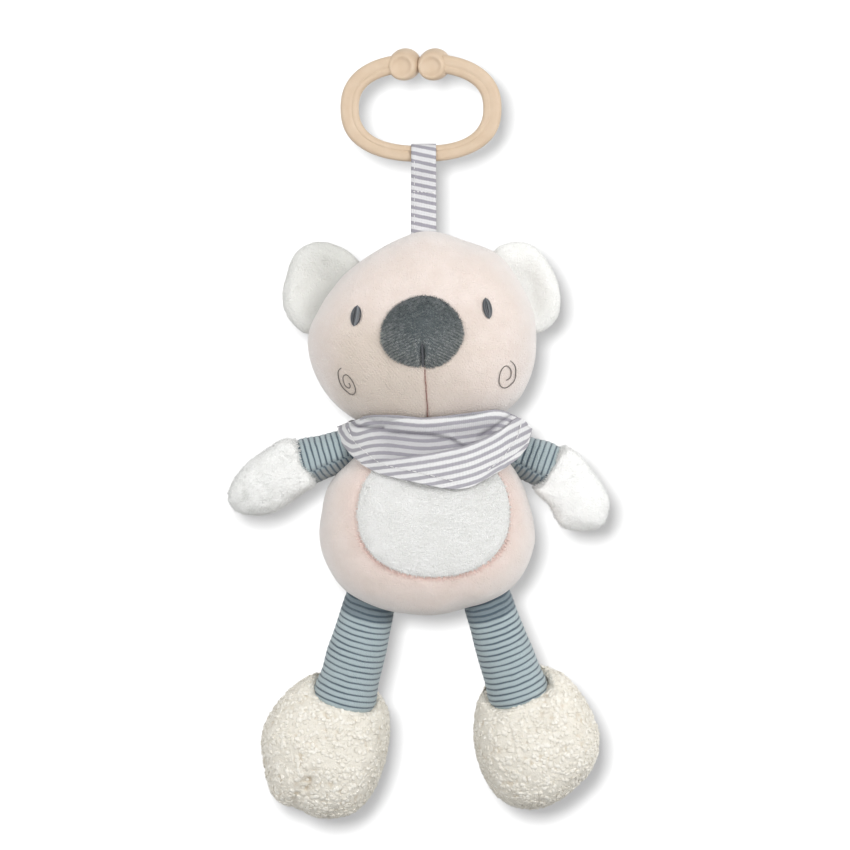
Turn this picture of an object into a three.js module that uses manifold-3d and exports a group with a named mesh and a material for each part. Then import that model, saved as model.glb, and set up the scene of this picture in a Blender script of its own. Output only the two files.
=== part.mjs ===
// Musical plush bear on a hanging ring: sewn skins round loose stuffing, a striped strap that holds the
// head, and a pull-cord music movement in the torso. Pulling the bear down draws the cord off its spool;
// the mainspring winds it back in and turns the pin cylinder past the comb.
// Millimetres, +Z up, face towards -Y. The origin lies under the ring's two knobs, where a bar bears.
import * as THREE from "three";
import { mergeVertices } from "three/addons/utils/BufferGeometryUtils.js";
import Module from "manifold-3d";

const wasm = await Module();
wasm.setup();

// Fits
const GAP = 0.35; // between pieces that touch
const PLAY = 0.25; // radial play of a wheel on its arbor
const LOOP_PLAY = 0.6; // strap loop round the ring's bar
const SKIN = 1.6; // plush fabric with its pile

// Hanging ring: an open C of plastic bar whose two knobs meet at the top
const RING_WIDTH = 74.5;
const RING_HEIGHT = 48;
const RING_BAR = 8;
const RING_BAR_DEPTH = 6.4;
const RING_SQUARENESS = 2.4;
const KNOB_DIAMETER = 14.6;
const KNOB_THICKNESS = 9.6;
const KNOB_EDGE = 2.2;
const KNOB_DISH = 0.9;
const KNOB_DISH_DIAMETER = 10;
const KNOB_OPENING = 0.6;

// Strap: one tape doubled round the bar and sewn to the pull cord inside the crown
const STRAP_WIDTH = 11.7;
const STRAP_TAPE = 0.9;
const STRAP_DROP = 31.8; // from the bar to the crown
const STRAP_TUCK = 8; // hidden in the crown

// Head
const HEAD_X = 0.7;
const HEAD_WIDTH = 104.4;
const HEAD_DEPTH = 86;
const HEAD_CROWN = 49.7; // above the widest level
const HEAD_JAW = 46; // below it
const HEAD_JAW_FULLNESS = 2.3;
const NECK_DIAMETER = 42; // seam between head and torso
const NECK_TWIST = 25; // degrees each way
const EYE_WIDTH = 4.4;
const EYE_HEIGHT = 9.8;
const EYE_LEAN = 10;
const EYE_PAD = 0.7;
const EYES = { left_eye: [-31, 10], right_eye: [29, 12.8] }; // from the head's centre
const NOSE_WIDTH = 38.6;
const NOSE_HEIGHT = 34.4;
const NOSE_DEPTH = 9;
const NOSE_SINK = 1.5;
const NOSE_X = -0.7;
const NOSE_RISE = 2.8;
const SPIRALS = { left_cheek_spiral: [-35, -20.4], right_cheek_spiral: [38.2, -17] };
const SPIRAL_WIDTH = 7.6;
const SPIRAL_HEIGHT = 12.4;
const SPIRAL_TURNS = 1.9;
const SPIRAL_START = 0.2; // share of its full size
const THREAD = 0.8;

// Ears, sewn into the side seams of the head
const EAR_REACH = 34.5;
const EAR_HEIGHT = 43;
const EAR_THICKNESS = 11;
const EAR_CUP = 3;
const EAR_SET_OUT = 1.5;
const EAR_ANGLE = 28; // round the head's outline, above its widest level
const EAR_FLOP = 20; // degrees each way

// Torso
const TORSO_X = 2.8;
const TORSO_WIDTH = 98.5;
const TORSO_DEPTH = 74;
const TORSO_CHEST = 54.3;
const TORSO_SEAT = 34;
const PATCH_WIDTH = 70;
const PATCH_HEIGHT = 57;
const PATCH_THICKNESS = 1.1;
const PATCH_X = 2.6;
const PATCH_RISE = 9.5;

// Arms
const SHOULDER_DROP = 5.5; // below the neck seam
const SLEEVE_LENGTH = 29.5;
const SLEEVE_ROOT = 16.5;
const SLEEVE_ROOT_DEPTH = 8;
const SLEEVE_WRIST = 20.8;
const SLEEVE_WRIST_DEPTH = 19.2;
const MITTEN_LENGTH = 39;
const MITTEN_WIDTH = 24.6;
const MITTEN_DEPTH = 20.5;
const MITTEN_CUFF = 0.84; // share of its full width at the wrist
const MITTEN_TIP_FULLNESS = 3;
const MITTEN_LAP = 3; // over the sleeve's end
const ARMS = { left: { side: -1, below: 16, bend: 10 }, right: { side: 1, below: 20, bend: 31 } };
const ARM_FORWARD = 30;
const ARM_BACK = 45;

// Legs
const HIP_SPREAD = 27.3;
const LEG_LENGTH = 47;
const LEG_ROOT = 23.6;
const LEG_ROOT_DEPTH = 13;
const LEG_ANKLE = 27;
const FOOT_WIDTH = 58;
const FOOT_HEIGHT = 64;
const FOOT_DEPTH = 52;
const FOOT_DROP = 20; // centre, past the ankle
const FOOT_OUT = 5;
const FOOT_BACK = 9;
const LEGS = { left: { side: -1, splay: 13 }, right: { side: 1, splay: 15.6 } };
const LEG_FORWARD = 70;
const LEG_BACK = 35;

// Scarf: [angle from the front, top above the neck seam, top outside it, hem below it, hem off the torso]
const SCARF_CLOTH = 2.4;
const SCARF_BELLY = 4;
const SCARF_FOLDS = [0.6, 0.8, -1.6, 0.8, 0]; // rolls and the crease between, from the top edge down
const SCARF_STATIONS = [
  [0, 6.4, 9.5, 24.2, 3.2],
  [32, 8.8, 13, 25.4, 3.2],
  [60, 9.6, 17.5, 15.5, 5],
  [85, 6.5, 20, 5, 16],
  [120, 5, 13, 8, 3.6],
  [180, 4, 6, 9, 3.2],
  [240, 5, 9, 8, 3.4],
  [275, 5.5, 12.5, 4.5, 9.5],
  [300, 7, 11.5, 12.5, 4],
  [330, 7.4, 9.5, 21, 3.2],
];

// Pull cord and its spool
const CORD_DIAMETER = 1.2;
const CORD_X = 1.2;
const CORD_PLAY = 1; // radial, in the stuffing
const SPOOL_CORE = 18.8;
const SPOOL_FLANGE = 25;
const SPOOL_CAVITY = 16.4;
const SPOOL_RISE = 10.2; // above the torso's widest level
const SPOOL_HUB = 8;
const FLANGE_THICKNESS = 1;
const CORD_TURNS = 2;
const SPRING_TURNS = 4;
const SPRING_STRIP = 0.5;

// Wheels
const MODULE = 0.5;
const TEETH = { spool: 48, cylinder: 32, idlerPinion: 10, idlerWheel: 24, governor: 8 };
const ROOT_DEPTH = 1.2; // in modules, as the next one is
const TIP_HEIGHT = 0.85;
const ROOT_SHARE = 0.29; // of the tooth pitch, each side of the tooth's middle
const TIP_SHARE = 0.1;
const ARBORS = { spool: 2, cylinder: 1.4, idler: 0.9, governor: 0.7 }; // radii
const TRAIN_ANGLES = { cylinder: -38, idler: 215, governor: 190 };
const WHEEL_FACE = 2.6;
const CYLINDER_DIAMETER = 11;
const CYLINDER_HUB = 6;
const PIN_LENGTH = 0.6;
const PIN_WIDTH = 0.5;
const PIN_ROWS = 8;
const PINS_PER_ROW = 5;
const PIN_STAGGER = 5;
const COMB_LENGTH = 11;
const COMB_TEETH = 12;
const COMB_THICKNESS = 1;
const COMB_ROOT = 5;
const COMB_SLOT = 0.35;
const COMB_BLOCK = 3.4;
const COMB_SCREW_PLACES = [0.25, 0.75]; // shares of the comb's width
const COMB_SCREW = 1; // shank radius, as in the next one
const CASE_SCREW = 0.9;
const SCREW_HEAD = 0.9; // past the shank, and its height
const FAN_SPAN = 11.6;
const FAN_BLADE = 0.9;
const FAN_HUB = 3;

// Movement case
const CASE_WALL = 1.6;
const CASE_DEPTH = 27;
const CASE_MARGIN = 0.9;
const CASE_CORNER = 3;
const CASE_POST = 2.6;
const BEDPLATE = 2;
const EYELET_WALL = 0.8;
const EYELET_LIP = 0.9;

// Fineness of the faceted surfaces
const HEAD_FACETS = [24, 16];
const TORSO_FACETS = [22, 14];
const ROUND = 16;
const BAR_SIDES = 10;
const BAR_STEPS = 28;
const THREAD_SIDES = 6;
const THREAD_STEPS = 26;
const NOSE_FACETS = [18, 12];
const EAR_FACETS = [14, 10];
const FOOT_FACETS = [16, 12];
const LIMB_SIDES = 14;
const LIMB_ROWS = 7;
const MITTEN_ROWS = 9;
const SPRING_STEPS = 14; // a turn
const SCARF_STEPS = 36;
const ARM_STOPS = 6; // of an arm's swing, where the scarf is cleared for it
const FAR = 400;
const MERGE = 1e-4;

const rad = THREE.MathUtils.degToRad;
const polar = (from, radius, degrees) => ({
  x: from.x + radius * Math.cos(rad(degrees)),
  z: from.z + radius * Math.sin(rad(degrees)),
});

function look(colour, roughness, metalness = 0) {
  return new THREE.MeshStandardMaterial({ color: colour, roughness, metalness });
}

const LOOKS = {
  ring: () => look("#e4cbb0", 0.45),
  tape: () => look("#d3d2d4", 0.9),
  velour: () => look("#ebe0d8", 0.95),
  white: () => look("#f1f1ee", 0.95),
  stuffing: () => look("#f4f4f2", 1),
  nose: () => look("#5b6366", 0.95),
  thread: () => look("#5a4a4c", 0.8),
  ribbed: () => look("#9fb0b6", 0.95),
  fleece: () => look("#eae4d8", 1),
  cord: () => look("#e9e6de", 0.8),
  plastic: () => look("#e8e8e4", 0.5),
  steel: () => look("#a9abad", 0.35, 1),
  brass: () => look("#c9a650", 0.35, 1),
};

/** A closed geometry as a solid: seams merged, empty triangles dropped, faces turned outwards. */
function solid(geometry) {
  const bare = new THREE.BufferGeometry();
  bare.setAttribute("position", geometry.attributes.position.clone());
  if (geometry.index) bare.setIndex(geometry.index.clone());
  const merged = mergeVertices(bare, MERGE);
  const corners = merged.index.array;
  const kept = [];
  for (let i = 0; i < corners.length; i += 3) {
    const [a, b, c] = corners.subarray(i, i + 3);
    if (a !== b && b !== c && c !== a) kept.push(a, b, c);
  }
  const wrap = (triangles) =>
    new wasm.Manifold(
      new wasm.Mesh({
        numProp: 3,
        vertProperties: new Float32Array(merged.attributes.position.array),
        triVerts: new Uint32Array(triangles),
      }),
    );
  const made = wrap(kept);
  return made.volume() > 0 ? made : wrap(kept.reverse());
}

function geometryOf(made) {
  const mesh = made.getMesh();
  const geometry = new THREE.BufferGeometry();
  geometry.setAttribute("position", new THREE.BufferAttribute(new Float32Array(mesh.vertProperties), 3));
  geometry.setIndex(new THREE.BufferAttribute(new Uint32Array(mesh.triVerts), 1));
  return geometry;
}

function add(group, name, made, material, at = { x: 0, z: 0 }) {
  const mesh = new THREE.Mesh(geometryOf(made), material);
  mesh.name = name;
  mesh.position.set(at.x, 0, at.z);
  group.add(mesh);
  return mesh;
}

/** The largest of the bodies that a cut leaves. */
function largest(made) {
  return made.decompose().sort((a, b) => b.volume() - a.volume())[0];
}

function box(low, high) {
  const size = high.map((value, axis) => value - low[axis]);
  const geometry = new THREE.BoxGeometry(...size);
  geometry.translate(...high.map((value, axis) => (value + low[axis]) / 2));
  return solid(geometry);
}

/** A shape drawn in X and Z, extruded along Y between two levels. */
function slab(shape, front, back) {
  const geometry = new THREE.ExtrudeGeometry(shape, {
    depth: back - front,
    bevelEnabled: false,
    curveSegments: ROUND / 2,
  });
  const [x, y, z] = [new THREE.Vector3(1, 0, 0), new THREE.Vector3(0, 1, 0), new THREE.Vector3(0, 0, 1)];
  geometry.applyMatrix4(new THREE.Matrix4().makeBasis(x, z, y.clone().negate()));
  geometry.translate(0, back, 0);
  return solid(geometry);
}

function disc(radius, at = { x: 0, z: 0 }) {
  return new THREE.Shape().absarc(at.x, at.z, radius, 0, 2 * Math.PI);
}

function oval(wide, tall, at, lean = 0) {
  return new THREE.Shape().absellipse(at.x, at.z, wide / 2, tall / 2, 0, 2 * Math.PI, false, rad(lean));
}

function pin(radius, front, back, at) {
  return slab(disc(radius, at), front, back);
}

/** A closed profile of [radius, level along Y], turned round the Y axis. */
function turned(profile, sides = ROUND) {
  const points = profile.map(([radius, level]) => new THREE.Vector2(radius, level));
  return solid(new THREE.LatheGeometry([...points, points[0].clone()], sides));
}

/** A round bar along Z. */
function post(radius, low, high, x, y) {
  const geometry = new THREE.CylinderGeometry(radius, radius, high - low, ROUND / 2);
  geometry.rotateX(Math.PI / 2);
  geometry.translate(x, y, (low + high) / 2);
  return solid(geometry);
}

// Levels down the object
const barCentreZ = KNOB_DIAMETER / 2 - (RING_HEIGHT - RING_BAR);
const crownZ = barCentreZ - RING_BAR / 2 - STRAP_DROP;
const head = {
  x: HEAD_X,
  z: crownZ - HEAD_CROWN,
  wide: HEAD_WIDTH / 2,
  deep: HEAD_DEPTH / 2,
  up: HEAD_CROWN,
  down: HEAD_JAW,
  upFullness: 2,
  downFullness: HEAD_JAW_FULLNESS,
  facets: HEAD_FACETS,
};
/** How far below or above its widest level a body narrows to a given half-width. */
function levelOf(height, fullness, share) {
  return height * (1 - share ** fullness) ** (1 / fullness);
}
const neckRadius = NECK_DIAMETER / 2;
const neckZ = head.z - levelOf(head.down, head.downFullness, neckRadius / head.wide);
const torso = {
  x: TORSO_X,
  z: neckZ - levelOf(TORSO_CHEST, 2, (2 * neckRadius) / TORSO_WIDTH),
  wide: TORSO_WIDTH / 2,
  deep: TORSO_DEPTH / 2,
  up: TORSO_CHEST,
  down: TORSO_SEAT,
  upFullness: 2,
  downFullness: 2,
  facets: TORSO_FACETS,
};

/** Share of its full width that a body keeps at a height z. */
function reach(body, z) {
  const above = z > body.z;
  const share = Math.min(1, Math.abs(z - body.z) / (above ? body.up : body.down));
  const fullness = above ? body.upFullness : body.downFullness;
  return (1 - share ** fullness) ** (1 / fullness);
}

/** The level of a body's front surface at x and z. */
function frontOf(body, x, z) {
  const share = reach(body, z);
  return -body.deep * share * Math.sqrt(Math.max(0, 1 - ((x - body.x) / (body.wide * share)) ** 2));
}

/** A stuffed body, drawn in by an inset all round. */
function stuffed(body, inset = 0) {
  const ball = new THREE.SphereGeometry(1, ...body.facets);
  ball.rotateX(Math.PI / 2);
  const place = ball.attributes.position;
  for (let i = 0; i < place.count; i++) {
    const rise = place.getZ(i) * ((place.getZ(i) > 0 ? body.up : body.down) - inset);
    const flat = Math.hypot(place.getX(i), place.getY(i));
    const fullness = place.getZ(i) > 0 ? body.upFullness : body.downFullness;
    const out = flat > MERGE ? (1 - Math.abs(place.getZ(i)) ** fullness) ** (1 / fullness) / flat : 0;
    const x = place.getX(i) * out * (body.wide - inset);
    const y = place.getY(i) * out * (body.deep - inset);
    place.setXYZ(i, body.x + x, y, body.z + rise);
  }
  return solid(ball);
}

const aboveNeck = box([-FAR, -FAR, neckZ + GAP / 2], [FAR, FAR, FAR]);
const belowNeck = box([-FAR, -FAR, -FAR], [FAR, FAR, neckZ - GAP / 2]);
const front = box([-FAR, -FAR, -FAR], [FAR, -GAP / 2, FAR]);
const back = box([-FAR, GAP / 2, -FAR], [FAR, FAR, FAR]);

/** A pad that lies on the front of a body, cut to an outline. */
function padOn(body, thickness, outline) {
  const cover = stuffed(body, -GAP - thickness).subtract(stuffed(body, -GAP));
  return cover.intersect(slab(outline, -FAR, 0));
}

/** The hanging ring: bar along a squarish oval, open between two dished knobs. */
function makeRing(bear) {
  const wide = (RING_WIDTH - RING_BAR) / 2;
  const tall = (RING_HEIGHT - RING_BAR) / 2;
  const knobX = (KNOB_DIAMETER + KNOB_OPENING) / 2;
  const power = 2 / RING_SQUARENESS;
  const bend = (value) => Math.sign(value) * Math.abs(value) ** power;
  const start = Math.PI / 2 + Math.asin((knobX / wide) ** (1 / power));
  const sweep = 3 * Math.PI - 2 * start;
  const path = [];
  const stops = BAR_STEPS;
  for (let i = 0; i <= stops; i++) {
    const angle = start + (sweep * i) / stops;
    const z = barCentreZ + tall + tall * bend(Math.sin(angle));
    path.push(new THREE.Vector3(wide * bend(Math.cos(angle)), 0, z));
  }
  const bar = new THREE.ExtrudeGeometry(oval(RING_BAR, RING_BAR_DEPTH, { x: 0, z: 0 }), {
    steps: stops,
    curveSegments: BAR_SIDES / 2,
    extrudePath: new THREE.CatmullRomCurve3(path),
  });
  const half = KNOB_THICKNESS / 2;
  const rim = KNOB_DIAMETER / 2;
  const knob = solid(
    new THREE.LatheGeometry(
      [
        [0, -half + KNOB_DISH],
        [KNOB_DISH_DIAMETER / 2, -half],
        [rim - KNOB_EDGE, -half],
        [rim, -half + KNOB_EDGE],
        [rim, half - KNOB_EDGE],
        [rim - KNOB_EDGE, half],
        [KNOB_DISH_DIAMETER / 2, half],
        [0, half - KNOB_DISH],
      ].map(([radius, level]) => new THREE.Vector2(radius, level)),
      ROUND,
    ),
  );
  const knobZ = KNOB_DIAMETER / 2;
  const ring = solid(bar).add(knob.translate([-knobX, 0, knobZ])).add(knob.translate([knobX, 0, knobZ]));
  add(bear, "hanging_ring", ring, LOOKS.ring());
}

const strapEndZ = crownZ - STRAP_TUCK;

/** The strap: a tape doubled round the ring's lower bar, seen edge-on as a loop with a tail. */
function makeStrap(bear) {
  const inner = RING_BAR / 2 + LOOP_PLAY;
  const outer = inner + STRAP_TAPE;
  const spread = Math.asin(STRAP_TAPE / outer);
  const edge = new THREE.Shape();
  edge.moveTo(STRAP_TAPE, strapEndZ);
  edge.absarc(0, barCentreZ, outer, -Math.PI / 2 + spread, 1.5 * Math.PI - spread, false);
  edge.lineTo(-STRAP_TAPE, strapEndZ);
  edge.holes.push(new THREE.Path().absarc(0, barCentreZ, inner, 0, 2 * Math.PI, true));
  const fineness = { bevelEnabled: false, curveSegments: ROUND / 2 };
  const tape = new THREE.ExtrudeGeometry(edge, { depth: STRAP_WIDTH, ...fineness });
  const [x, y, z] = [new THREE.Vector3(1, 0, 0), new THREE.Vector3(0, 1, 0), new THREE.Vector3(0, 0, 1)];
  tape.applyMatrix4(new THREE.Matrix4().makeBasis(y, z, x));
  tape.translate(CORD_X - STRAP_WIDTH / 2, 0, 0);
  add(bear, "strap", solid(tape), LOOKS.tape());
}

const strapSlot = box(
  [CORD_X - STRAP_WIDTH / 2 - GAP, -STRAP_TAPE - GAP, strapEndZ - GAP],
  [CORD_X + STRAP_WIDTH / 2 + GAP, STRAP_TAPE + GAP, FAR],
);
const cordChannel = post(CORD_DIAMETER / 2 + CORD_PLAY, -FAR, strapEndZ, CORD_X, 0);

/** The head's skins and stuffing, its nose, eyes and cheek embroidery. */
function makeHead(bear) {
  const skin = stuffed(head).subtract(stuffed(head, SKIN)).intersect(aboveNeck).subtract(strapSlot);
  add(bear, "head_front", skin.intersect(front), LOOKS.velour());
  add(bear, "head_back", skin.intersect(back), LOOKS.velour());
  const filling = stuffed(head, SKIN + GAP).intersect(aboveNeck).subtract(strapSlot).subtract(cordChannel);
  add(bear, "head_stuffing", filling, LOOKS.stuffing());

  const nose = new THREE.SphereGeometry(1, ...NOSE_FACETS);
  const [noseX, noseZ] = [head.x + NOSE_X, head.z + NOSE_RISE];
  nose.scale(NOSE_WIDTH / 2, NOSE_DEPTH + NOSE_SINK, NOSE_HEIGHT / 2);
  nose.translate(noseX, frontOf(head, noseX, noseZ) + NOSE_SINK, noseZ);
  add(bear, "nose", largest(solid(nose).subtract(stuffed(head, -GAP))), LOOKS.nose());

  for (const [name, [x, z]] of Object.entries(EYES)) {
    const outline = oval(EYE_WIDTH, EYE_HEIGHT, { x: head.x + x, z: head.z + z }, Math.sign(x) * EYE_LEAN);
    add(bear, name, padOn(head, EYE_PAD, outline), LOOKS.thread());
  }
  for (const [name, centre] of Object.entries(SPIRALS)) add(bear, name, spiral(...centre), LOOKS.thread());
}

/** One thread that spirals out on the cheek. */
function spiral(x, z) {
  const stops = THREAD_STEPS;
  const path = [];
  for (let i = 0; i <= stops; i++) {
    const share = SPIRAL_START + ((1 - SPIRAL_START) * i) / stops;
    const angle = (2 * Math.PI * SPIRAL_TURNS * i) / stops;
    const px = head.x + x - Math.sign(x) * share * (SPIRAL_WIDTH / 2) * Math.cos(angle);
    const pz = head.z + z + share * (SPIRAL_HEIGHT / 2) * Math.sin(angle);
    path.push(new THREE.Vector3(px, frontOf(head, px, pz) - GAP - THREAD / 2, pz));
  }
  const section = oval(THREAD, THREAD, { x: 0, z: 0 });
  const thread = new THREE.ExtrudeGeometry(section, {
    steps: stops,
    curveSegments: THREAD_SIDES / 2,
    extrudePath: new THREE.CatmullRomCurve3(path),
  });
  return largest(solid(thread).subtract(stuffed(head, -GAP)));
}

/** A limb's own frame: X out along the limb, Y its seam, on which it swings, Z to the back. */
function limbFrame(name, side, below, x, z) {
  const frame = new THREE.Group();
  const [along, down] = [Math.cos(rad(below)), Math.sin(rad(below))];
  const basis = new THREE.Matrix4().makeBasis(
    new THREE.Vector3(side * along, 0, -down),
    new THREE.Vector3(-down, 0, -side * along),
    new THREE.Vector3(0, 1, 0),
  );
  frame.name = name;
  frame.quaternion.setFromRotationMatrix(basis);
  frame.position.set(x, 0, z);
  frame.updateMatrix();
  return frame;
}

/** A limb's solid with the room cut away that a neighbour needs as the limb swings. */
function clearOf(made, neighbour, frame, angles) {
  const local = neighbour.transform(frame.matrix.clone().invert().elements);
  return largest(
    angles.reduce((left, angle) => {
      const turn = new THREE.Matrix4().makeRotationY(rad(-angle));
      return left.subtract(local.transform(turn.elements));
    }, made),
  );
}

/** A limb section by section: a list of [distance, half-width along the seam, half-depth]. */
function limb(sections) {
  const tube = new THREE.CylinderGeometry(1, 1, 1, LIMB_SIDES, sections.length - 1);
  const place = tube.attributes.position;
  for (let i = 0; i < place.count; i++) {
    const row = Math.round((place.getY(i) + 0.5) * (sections.length - 1));
    const [along, wide, deep] = sections[row];
    place.setXYZ(i, along, place.getX(i) * wide, place.getZ(i) * deep);
  }
  return solid(tube);
}

/** Sections that swell from a root to a full end, each given as its width and depth. */
function taper(length, grow, root, end) {
  const sections = [];
  for (let i = 0; i <= LIMB_ROWS; i++) {
    const share = i / LIMB_ROWS;
    const ease = Math.sin((share * Math.PI) / 2);
    const [wide, deep] = root.map((size, axis) => (size + (end[axis] - size) * ease) / 2 + grow);
    sections.push([length * share, wide, deep]);
  }
  return sections;
}

/** Ears: cupped discs, cut to the head's side. */
function makeEars(bear) {
  const around = stuffed(head, -GAP);
  for (const [name, side] of [["left_ear", -1], ["right_ear", 1]]) {
    const [along, rise] = [Math.cos(rad(EAR_ANGLE)), Math.sin(rad(EAR_ANGLE))];
    const below = -THREE.MathUtils.radToDeg(Math.atan2(rise / head.up, along / head.wide));
    const [seamX, seamZ] = [head.x + side * head.wide * along, head.z + head.up * rise];
    const frame = limbFrame(`${name}_frame`, side, below, seamX, seamZ);
    const ear = new THREE.SphereGeometry(1, ...EAR_FACETS);
    const place = ear.attributes.position;
    for (let i = 0; i < place.count; i++) {
      const [u, v, w] = [place.getX(i), place.getY(i), place.getZ(i)];
      const dish = EAR_CUP * (1 - u * u - v * v);
      const out = EAR_SET_OUT + (u * EAR_REACH) / 2;
      place.setXYZ(i, out, (v * EAR_HEIGHT) / 2, (w * EAR_THICKNESS) / 2 + dish);
    }
    const cut = clearOf(solid(ear), around, frame, [-EAR_FLOP, 0, EAR_FLOP]);
    add(frame, name, cut, LOOKS.white());
    bear.add(frame);
  }
}

const shoulderZ = neckZ - SHOULDER_DROP;
const torsoClear = stuffed(torso, -GAP);

function armFrame(name) {
  const { side, below } = ARMS[name];
  const shoulderX = torso.x + side * torso.wide * reach(torso, shoulderZ);
  return limbFrame(`${name}_arm_frame`, side, below, shoulderX, shoulderZ);
}

function sleeve(grow = 0) {
  const [root, wrist] = [[SLEEVE_ROOT, SLEEVE_ROOT_DEPTH], [SLEEVE_WRIST, SLEEVE_WRIST_DEPTH]];
  return limb(taper(SLEEVE_LENGTH, grow, root, wrist));
}

/** Arms: a ribbed sleeve sewn to the torso's side, with a mitten over its end. */
function makeArms(bear) {
  for (const [name, { side, bend }] of Object.entries(ARMS)) {
    const frame = armFrame(name);
    const swings = [-ARM_BACK, 0, ARM_FORWARD];
    const cut = clearOf(sleeve(), torsoClear, frame, swings);
    add(frame, `${name}_sleeve`, cut, LOOKS.ribbed());
    const sections = [];
    for (let i = 0; i <= MITTEN_ROWS; i++) {
      const share = i / MITTEN_ROWS;
      const tip = Math.sqrt(1 - share ** MITTEN_TIP_FULLNESS);
      const swell = (MITTEN_CUFF + (1 - MITTEN_CUFF) * Math.sin(share * Math.PI)) * tip;
      const along = MITTEN_LENGTH * Math.sin((share * Math.PI) / 2);
      sections.push([along - MITTEN_LAP, (swell * MITTEN_WIDTH) / 2, (swell * MITTEN_DEPTH) / 2]);
    }
    const wrist = new THREE.Matrix4().makeRotationZ(rad(side * bend)).setPosition(SLEEVE_LENGTH, 0, 0);
    const mitten = limb(sections).transform(wrist.elements);
    add(frame, `${name}_mitten`, largest(mitten.subtract(sleeve(GAP))), LOOKS.white());
    bear.add(frame);
  }
}

/** Legs: a ribbed tube sewn to the torso's underside, its end let into a round fleecy foot. */
function makeLegs(bear) {
  for (const [name, { side, splay }] of Object.entries(LEGS)) {
    const hipZ = torso.z - levelOf(torso.down, torso.downFullness, HIP_SPREAD / torso.wide);
    const frame = limbFrame(`${name}_leg_frame`, side, 90 - splay, torso.x + side * HIP_SPREAD, hipZ);
    const [root, ankle] = [[LEG_ROOT, LEG_ROOT_DEPTH], [LEG_ANKLE, LEG_ANKLE]];
    const tube = (grow) => limb(taper(LEG_LENGTH + grow, grow, root, ankle));
    const swings = [-LEG_BACK, 0, LEG_FORWARD];
    add(frame, `${name}_leg`, clearOf(tube(0), torsoClear, frame, swings), LOOKS.ribbed());
    const foot = new THREE.SphereGeometry(1, ...FOOT_FACETS);
    foot.scale(FOOT_HEIGHT / 2, FOOT_WIDTH / 2, FOOT_DEPTH / 2);
    foot.translate(LEG_LENGTH + FOOT_DROP, -side * FOOT_OUT, FOOT_BACK);
    add(frame, `${name}_foot`, largest(solid(foot).subtract(tube(GAP))), LOOKS.fleece());
    bear.add(frame);
  }
}

/** The scarf: a cloth ring under the chin, from its top edge over a belly down to its hem. */
function scarfCloth() {
  const rows = SCARF_FOLDS.length;
  const around = SCARF_STEPS;
  const stations = SCARF_STATIONS.map(([degrees, rise, out, drop, off]) => {
    const [sin, cos] = [Math.sin(rad(degrees)), Math.cos(rad(degrees))];
    const share = reach(torso, neckZ - drop);
    const top = new THREE.Vector3(CORD_X + (neckRadius + out) * sin, -(neckRadius + out) * cos, neckZ + rise);
    const hemX = torso.x + (torso.wide * share + off) * sin;
    const hem = new THREE.Vector3(hemX, -(torso.deep * share + off) * cos, neckZ - drop);
    const belly = top.clone().add(hem).multiplyScalar(0.5);
    belly.add(new THREE.Vector3(sin, -cos, 0).multiplyScalar(2 * SCARF_BELLY));
    return new THREE.QuadraticBezierCurve3(top, belly, hem);
  });
  const edges = Array.from({ length: rows }, (_, row) => {
    const points = stations.map((curve) => {
      const point = curve.getPoint(row / (rows - 1));
      const fold = SCARF_FOLDS[row] / Math.hypot(point.x - CORD_X, point.y);
      return point.add(new THREE.Vector3((point.x - CORD_X) * fold, point.y * fold, 0));
    });
    return new THREE.CatmullRomCurve3(points, true).getPoints(around).slice(0, around);
  });
  const vertices = [];
  const triangles = [];
  for (let i = 0; i < around; i++) {
    for (let row = 0; row < 2 * rows; row++) {
      const level = row < rows ? row : 2 * rows - 1 - row;
      const here = edges[level][i];
      const down = edges[Math.min(level + 1, rows - 1)][i].clone().sub(edges[Math.max(level - 1, 0)][i]);
      const next = edges[level][(i + 1) % around].clone().sub(edges[level][(i + around - 1) % around]);
      const out = next.cross(down).normalize().multiplyScalar((row < rows ? -1 : 1) * (SCARF_CLOTH / 2));
      vertices.push(here.x + out.x, here.y + out.y, here.z + out.z);
      const [a, b] = [i * 2 * rows + row, i * 2 * rows + ((row + 1) % (2 * rows))];
      const [c, d] = [a, b].map((index) => (index + 2 * rows) % (around * 2 * rows));
      triangles.push(a, b, d, a, d, c);
    }
  }
  const geometry = new THREE.BufferGeometry();
  geometry.setAttribute("position", new THREE.Float32BufferAttribute(vertices, 3));
  geometry.setIndex(triangles);
  return solid(geometry);
}

/** The torso's skins, the tummy patch and the scarf, which clears the head and the arms as they move. */
function makeTorso(bear) {
  const skin = stuffed(torso).subtract(stuffed(torso, SKIN)).intersect(belowNeck);
  add(bear, "torso_front", skin.intersect(front), LOOKS.velour());
  add(bear, "torso_back", skin.intersect(back), LOOKS.velour());
  const patch = oval(PATCH_WIDTH, PATCH_HEIGHT, { x: torso.x + PATCH_X, z: torso.z + PATCH_RISE });
  add(bear, "tummy_patch", padOn(torso, PATCH_THICKNESS, patch), LOOKS.white());

  let scarf = scarfCloth().subtract(stuffed(torso, -2 * GAP - PATCH_THICKNESS));
  const chin = stuffed(head, -GAP);
  for (const angle of [-NECK_TWIST, -NECK_TWIST / 2, 0, NECK_TWIST / 2, NECK_TWIST]) {
    const twist = new THREE.Matrix4().makeRotationZ(rad(angle));
    const about = new THREE.Matrix4().makeTranslation(CORD_X, 0, 0);
    twist.premultiply(about).multiply(about.clone().invert());
    scarf = scarf.subtract(chin.transform(twist.elements));
  }
  for (const name of Object.keys(ARMS)) {
    const frame = armFrame(name);
    for (let stop = 0; stop <= ARM_STOPS; stop++) {
      const angle = -ARM_BACK + ((ARM_FORWARD + ARM_BACK) * stop) / ARM_STOPS;
      const swing = frame.matrix.clone().multiply(new THREE.Matrix4().makeRotationY(rad(angle)));
      scarf = scarf.subtract(sleeve(GAP).transform(swing.elements));
    }
  }
  add(bear, "scarf", largest(scarf), LOOKS.tape());
}

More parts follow.
